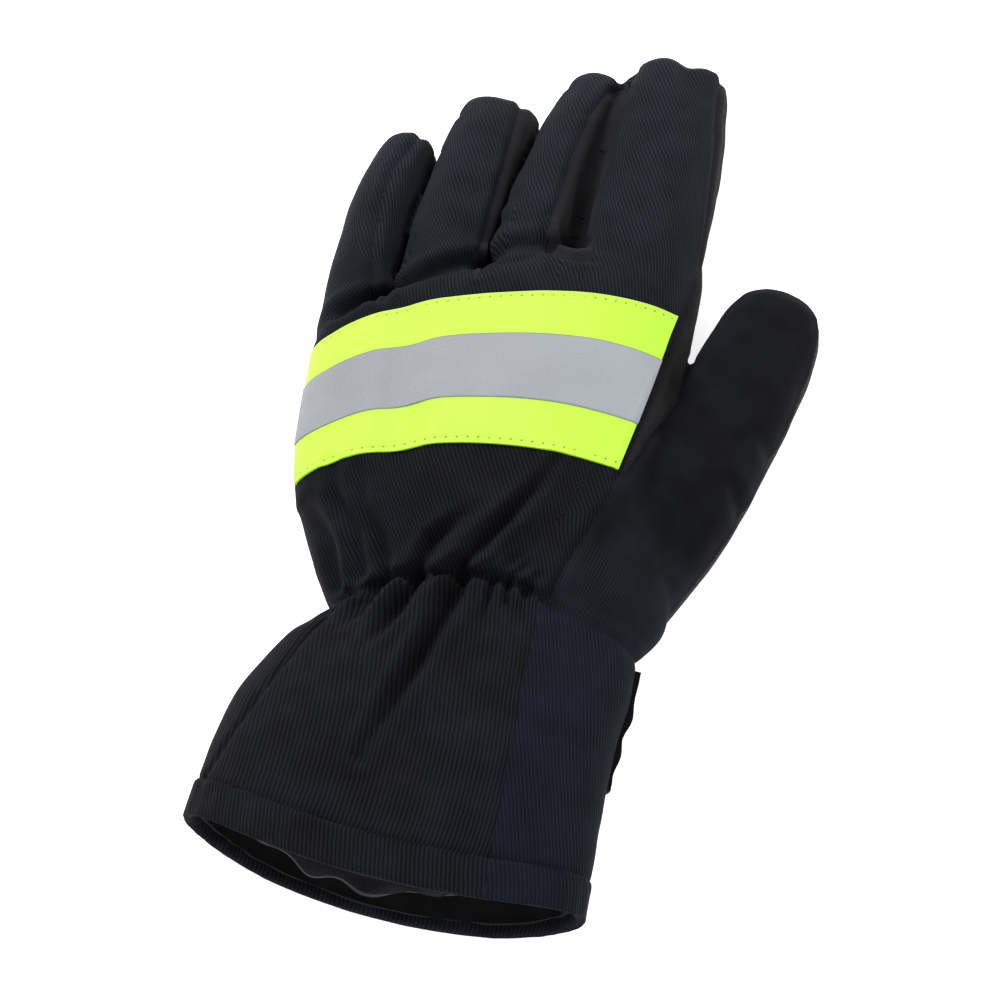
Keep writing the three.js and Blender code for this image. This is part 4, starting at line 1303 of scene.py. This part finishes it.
CHARCOAL = (rgb(0.0020, 0.0022, 0.0027), rgb(0.0178, 0.0189, 0.0235),
            rgb(0.0115, 0.0150, 0.0280), 4)
charcoal = twill("charcoal_twill", *CHARCOAL)
back_twill = twill("back_twill", *CHARCOAL, highlight_from=0.015)
thumb_twill = twill("thumb_twill", *CHARCOAL, plain_from=-0.045)
NAVY = (rgb(0.0032, 0.0038, 0.0068), rgb(0.0145, 0.0165, 0.0275), rgb(0.0105, 0.0135, 0.0280), 4)
navy = twill("navy_twill", *NAVY)
print("twill rib in mm:", RIB / MM)


# %% [markdown]
# ## Plain cloths and leather
# The strips between the fingers are a smooth, dull cloth. The palm is a thin leather with a
# pebbled grain, and the lining is a soft knit. The webbing has a coarse herringbone.

# %% Plain finishes
def crossed(across, along, pitch):
    """Threads that cross each other."""
    return ((across / pitch) * (2 * math.pi)).math("SINE") * ((along / pitch) * (2 * math.pi)).math("SINE")


def plain_cloth(name, dark, light, weave, depth, shade_below=None):
    """Where shade_below is given, painted shade darkens the cloth under that height."""
    finish = Finish(name)
    across, along = finish.cloth_map()
    place = finish.object_vector()
    threads = crossed(across, along, weave)
    fine = finish.noise(place, 2600, 3, 0.7)
    patches = finish.noise(place, 70, 4)
    lit = (threads * 0.18 + fine * 0.5 + patches * 0.6 - 0.25).clamped()
    soft = finish.bump(patches, 0.0012, 0.4)
    base = finish.mix(lit, dark, light)
    if shade_below is not None:
        # Painted shade: low down the cloth is painted near black, for the shade deep inside the cuff.
        low = ((shade_below - finish.parts(place)[2]) / 0.006 + 0.5).clamped()
        base = finish.mix(low * 0.9, base, rgb(0.0010, 0.0010, 0.0012))
    finish.set(Base_Color=base, Roughness=0.9 + fine * 0.08)
    finish.set(Normal=finish.bump(threads * 0.5 + fine, depth, 0.7, soft))
    finish.set(Sheen_Weight=0.03, Specular_IOR_Level=0.12)
    return finish.material


def leather(name, dark, light):
    finish = Finish(name)
    place = finish.object_vector()
    cells = finish.node("ShaderNodeTexVoronoi", {"feature": "DISTANCE_TO_EDGE"},
                        {"Vector": place, "Scale": 620})
    grain = (Signal(finish, cells.outputs["Distance"]) * 3).clamped()
    patches = finish.noise(place, 60, 4)
    wear = finish.noise(place, 240, 4)
    finish.set(Base_Color=finish.mix((patches * 0.7 + wear * 0.5 - 0.2).clamped(), dark, light))
    finish.set(Roughness=0.62 + wear * 0.25, Specular_IOR_Level=0.3)
    finish.set(Normal=finish.bump(grain + wear * 0.6, 0.00025, 0.7, finish.bump(patches, 0.002, 0.3)))
    return finish.material


black_cloth = plain_cloth("black_fabric", rgb(0.0048, 0.0048, 0.0058), rgb(0.0215, 0.0213, 0.0250),
                          weave=0.0006, depth=0.00015)
# The lining gets painted shade below 25 mm of height, deep inside the cuff.
lining_cloth = plain_cloth("lining", rgb(0.0140, 0.0143, 0.0160), rgb(0.0620, 0.0640, 0.0720),
                           weave=0.0009, depth=0.0002, shade_below=0.025)
webbing = plain_cloth("webbing", rgb(0.0020, 0.0020, 0.0024), rgb(0.0075, 0.0075, 0.0080),
                      weave=0.0016, depth=0.0004)
black_leather = leather("black_leather", rgb(0.0045, 0.0045, 0.0050), rgb(0.0170, 0.0168, 0.0175))

# %% [markdown]
# ## Tape finishes
# The lime tape is a fluorescent ribbon, and a trace of emission is a painted glow that brightens
# it whatever light falls on it. A row of needle holes runs along each long edge. The silver strip
# is made of tiny glass beads, shown as a fine sparkle of painted glints on grey, with a painted
# highlight that makes it a little brighter where the strip turns towards the thumb.

# %% Tape finishes
HOLE_PITCH = 0.0034
HOLE_EDGE = 0.0017
HOLE_SIZE = 0.00042
TAPE_WEAVE = 0.00045


def lime_tape():
    finish = Finish("lime_tape")
    across, along = finish.cloth_map()
    place = finish.object_vector()
    half = pieces["tape_yellow"]["width"] * MM / 2
    edge = (along.math("ABSOLUTE") - (half - HOLE_EDGE)).math("ABSOLUTE")
    step = ((across / HOLE_PITCH).math("FRACT") - 0.5).math("ABSOLUTE") * HOLE_PITCH
    away = (edge ** 2 + step ** 2).math("SQRT")
    hole = (1 - away / HOLE_SIZE).clamped()
    present = ((finish.noise(place, 120, 2) - 0.36) * 9).clamped()
    hole = (hole * 2.2).clamped() * present
    groove = (1 - edge / 0.0006).clamped()
    weave = crossed(across, along, TAPE_WEAVE)
    drift = finish.noise(place, 40, 3)
    base = finish.mix((drift * 0.8 - 0.1).clamped(), rgb(0.390, 0.74, 0.028), rgb(0.425, 0.78, 0.038))
    base = finish.mix(hole * 0.85, base, rgb(0.10, 0.14, 0.01))
    finish.set(Base_Color=base, Roughness=0.55)
    finish.set(Normal=finish.bump(weave * 0.15 - hole * 1.5 - groove * 0.7, 0.0003, 0.6))
    # Painted glow: the emission brightens the tape whatever light falls on it.
    finish.set(Emission_Color=base, Emission_Strength=0.12)
    return finish.material


def silver_tape():
    finish = Finish("silver_tape")
    place = finish.object_vector()
    across, along = finish.cloth_map()
    beads = finish.noise(finish.map_vector(), 1900, 3, 0.8)
    drift = finish.noise(place, 35, 4)
    half = pieces["tape_silver"]["width"] * MM / 2
    edge = ((along.math("ABSOLUTE") - (half - 0.0006)) / 0.0006).clamped()
    # Painted glints: bright specks painted on the beads.
    painted_glint = ((beads - 0.62) * 8).clamped()
    grey = (beads * 1.2 + drift * 0.6 - 0.4).clamped()
    base = finish.mix(grey, rgb(0.160, 0.169, 0.177), rgb(0.315, 0.330, 0.350))
    # Painted highlight: the strip is painted brighter towards its right end, where it turns towards the
    # thumb.
    turned = ((finish.parts(place)[0] + 0.06) / 0.1).clamped()
    base = finish.mix(turned * 0.28, base, rgb(0.46, 0.49, 0.56))
    base = finish.mix(painted_glint * 0.5, base, rgb(0.50, 0.52, 0.58))
    base = finish.mix(edge * 0.55, base, rgb(0.15, 0.16, 0.17))
    finish.set(Base_Color=base, Roughness=0.6 - painted_glint * 0.15, Specular_IOR_Level=0.15)
    finish.set(Normal=finish.bump(beads, 0.00008, 0.4))
    return finish.material


FINISHES = {
    "hand_back": (back_twill, "charcoal_twill"), "palm": (black_leather, "black_leather"),
    "fourchette_little_ring": (back_twill, "charcoal_twill"),
    "fourchette_ring_middle": (black_cloth, "black_fabric"),
    "fourchette_middle_index": (black_cloth, "black_fabric"), "index_side": (black_cloth, "black_fabric"),
    "thumb_back": (thumb_twill, "charcoal_twill"), "thumb_palm": (black_leather, "black_leather"),
    "tape_yellow": (lime_tape(), "lime_tape"), "tape_silver": (silver_tape(), "silver_tape"),
    "cuff_back": (charcoal, "charcoal_twill"), "cuff_side": (navy, "navy_twill"),
    "cuff_palm": (charcoal, "charcoal_twill"), "hem_back": (charcoal, "charcoal_twill"),
    "hem_side": (navy, "navy_twill"), "hem_palm": (charcoal, "charcoal_twill"),
    "cuff_lining": (lining_cloth, "lining"), "wrist_strap": (webbing, "webbing"),
}
for node, (material, slot) in FINISHES.items():
    piece = pieces[node]
    piece.data.materials.clear()
    piece.data.materials.append(material)
    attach(piece, "root")
    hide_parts(node)
print("dressed nodes:", len(FINISHES))

# %% [markdown]
# ## Padded pieces and sheets
# The hand's panels and the hem hold padding. The cuff, the lining, the strap and the tapes are flat
# cuts of cloth.


# %% [markdown]
# ## Floor and light
# The glove lies on a plain pale floor that glows like a light table, so that shadows stay faint.
# A wide lamp high on the left and a weaker one on the right leave soft shading on the dark cloth,
# and the pale world fills the rest.

# %% Floor and light
bpy.ops.mesh.primitive_plane_add(size=6, location=(0, 0, 0))
floor = bpy.context.object
floor.name = "floor"
pale = Finish("floor")
pale.set(Base_Color=rgb(0.9, 0.9, 0.9), Roughness=0.9, Emission_Color=rgb(1, 1, 1), Emission_Strength=0.7)
floor.data.materials.append(pale.material)
floor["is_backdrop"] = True

world = bpy.data.worlds.new("studio")
world.use_nodes = True
world.node_tree.nodes["Background"].inputs["Color"].default_value = (1, 1, 1, 1)
world.node_tree.nodes["Background"].inputs["Strength"].default_value = 0.8
bpy.context.scene.world = world


def lamp(name, place, size, power):
    light = bpy.data.lights.new(name, "AREA")
    light.size = size
    light.energy = power
    piece = bpy.data.objects.new(name, light)
    piece.location = place
    piece.rotation_euler = (AIM - Vector(place)).to_track_quat("-Z", "Y").to_euler()
    bpy.context.collection.objects.link(piece)


lamp("key", (-0.6, 0.6, 0.95), 0.7, 16)
lamp("fill", (0.9, -0.3, 0.8), 0.9, 3)
print("lamps: 2")

# %% [markdown]
# ## Sizes at the end
# The box of the dressed glove is set against the box of the imported one, and the growth is printed.

# %% Sizes
low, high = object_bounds()
print("grown in mm:", [round(1000 * g, 1) for g in (high - low) - (cad_high - cad_low)])
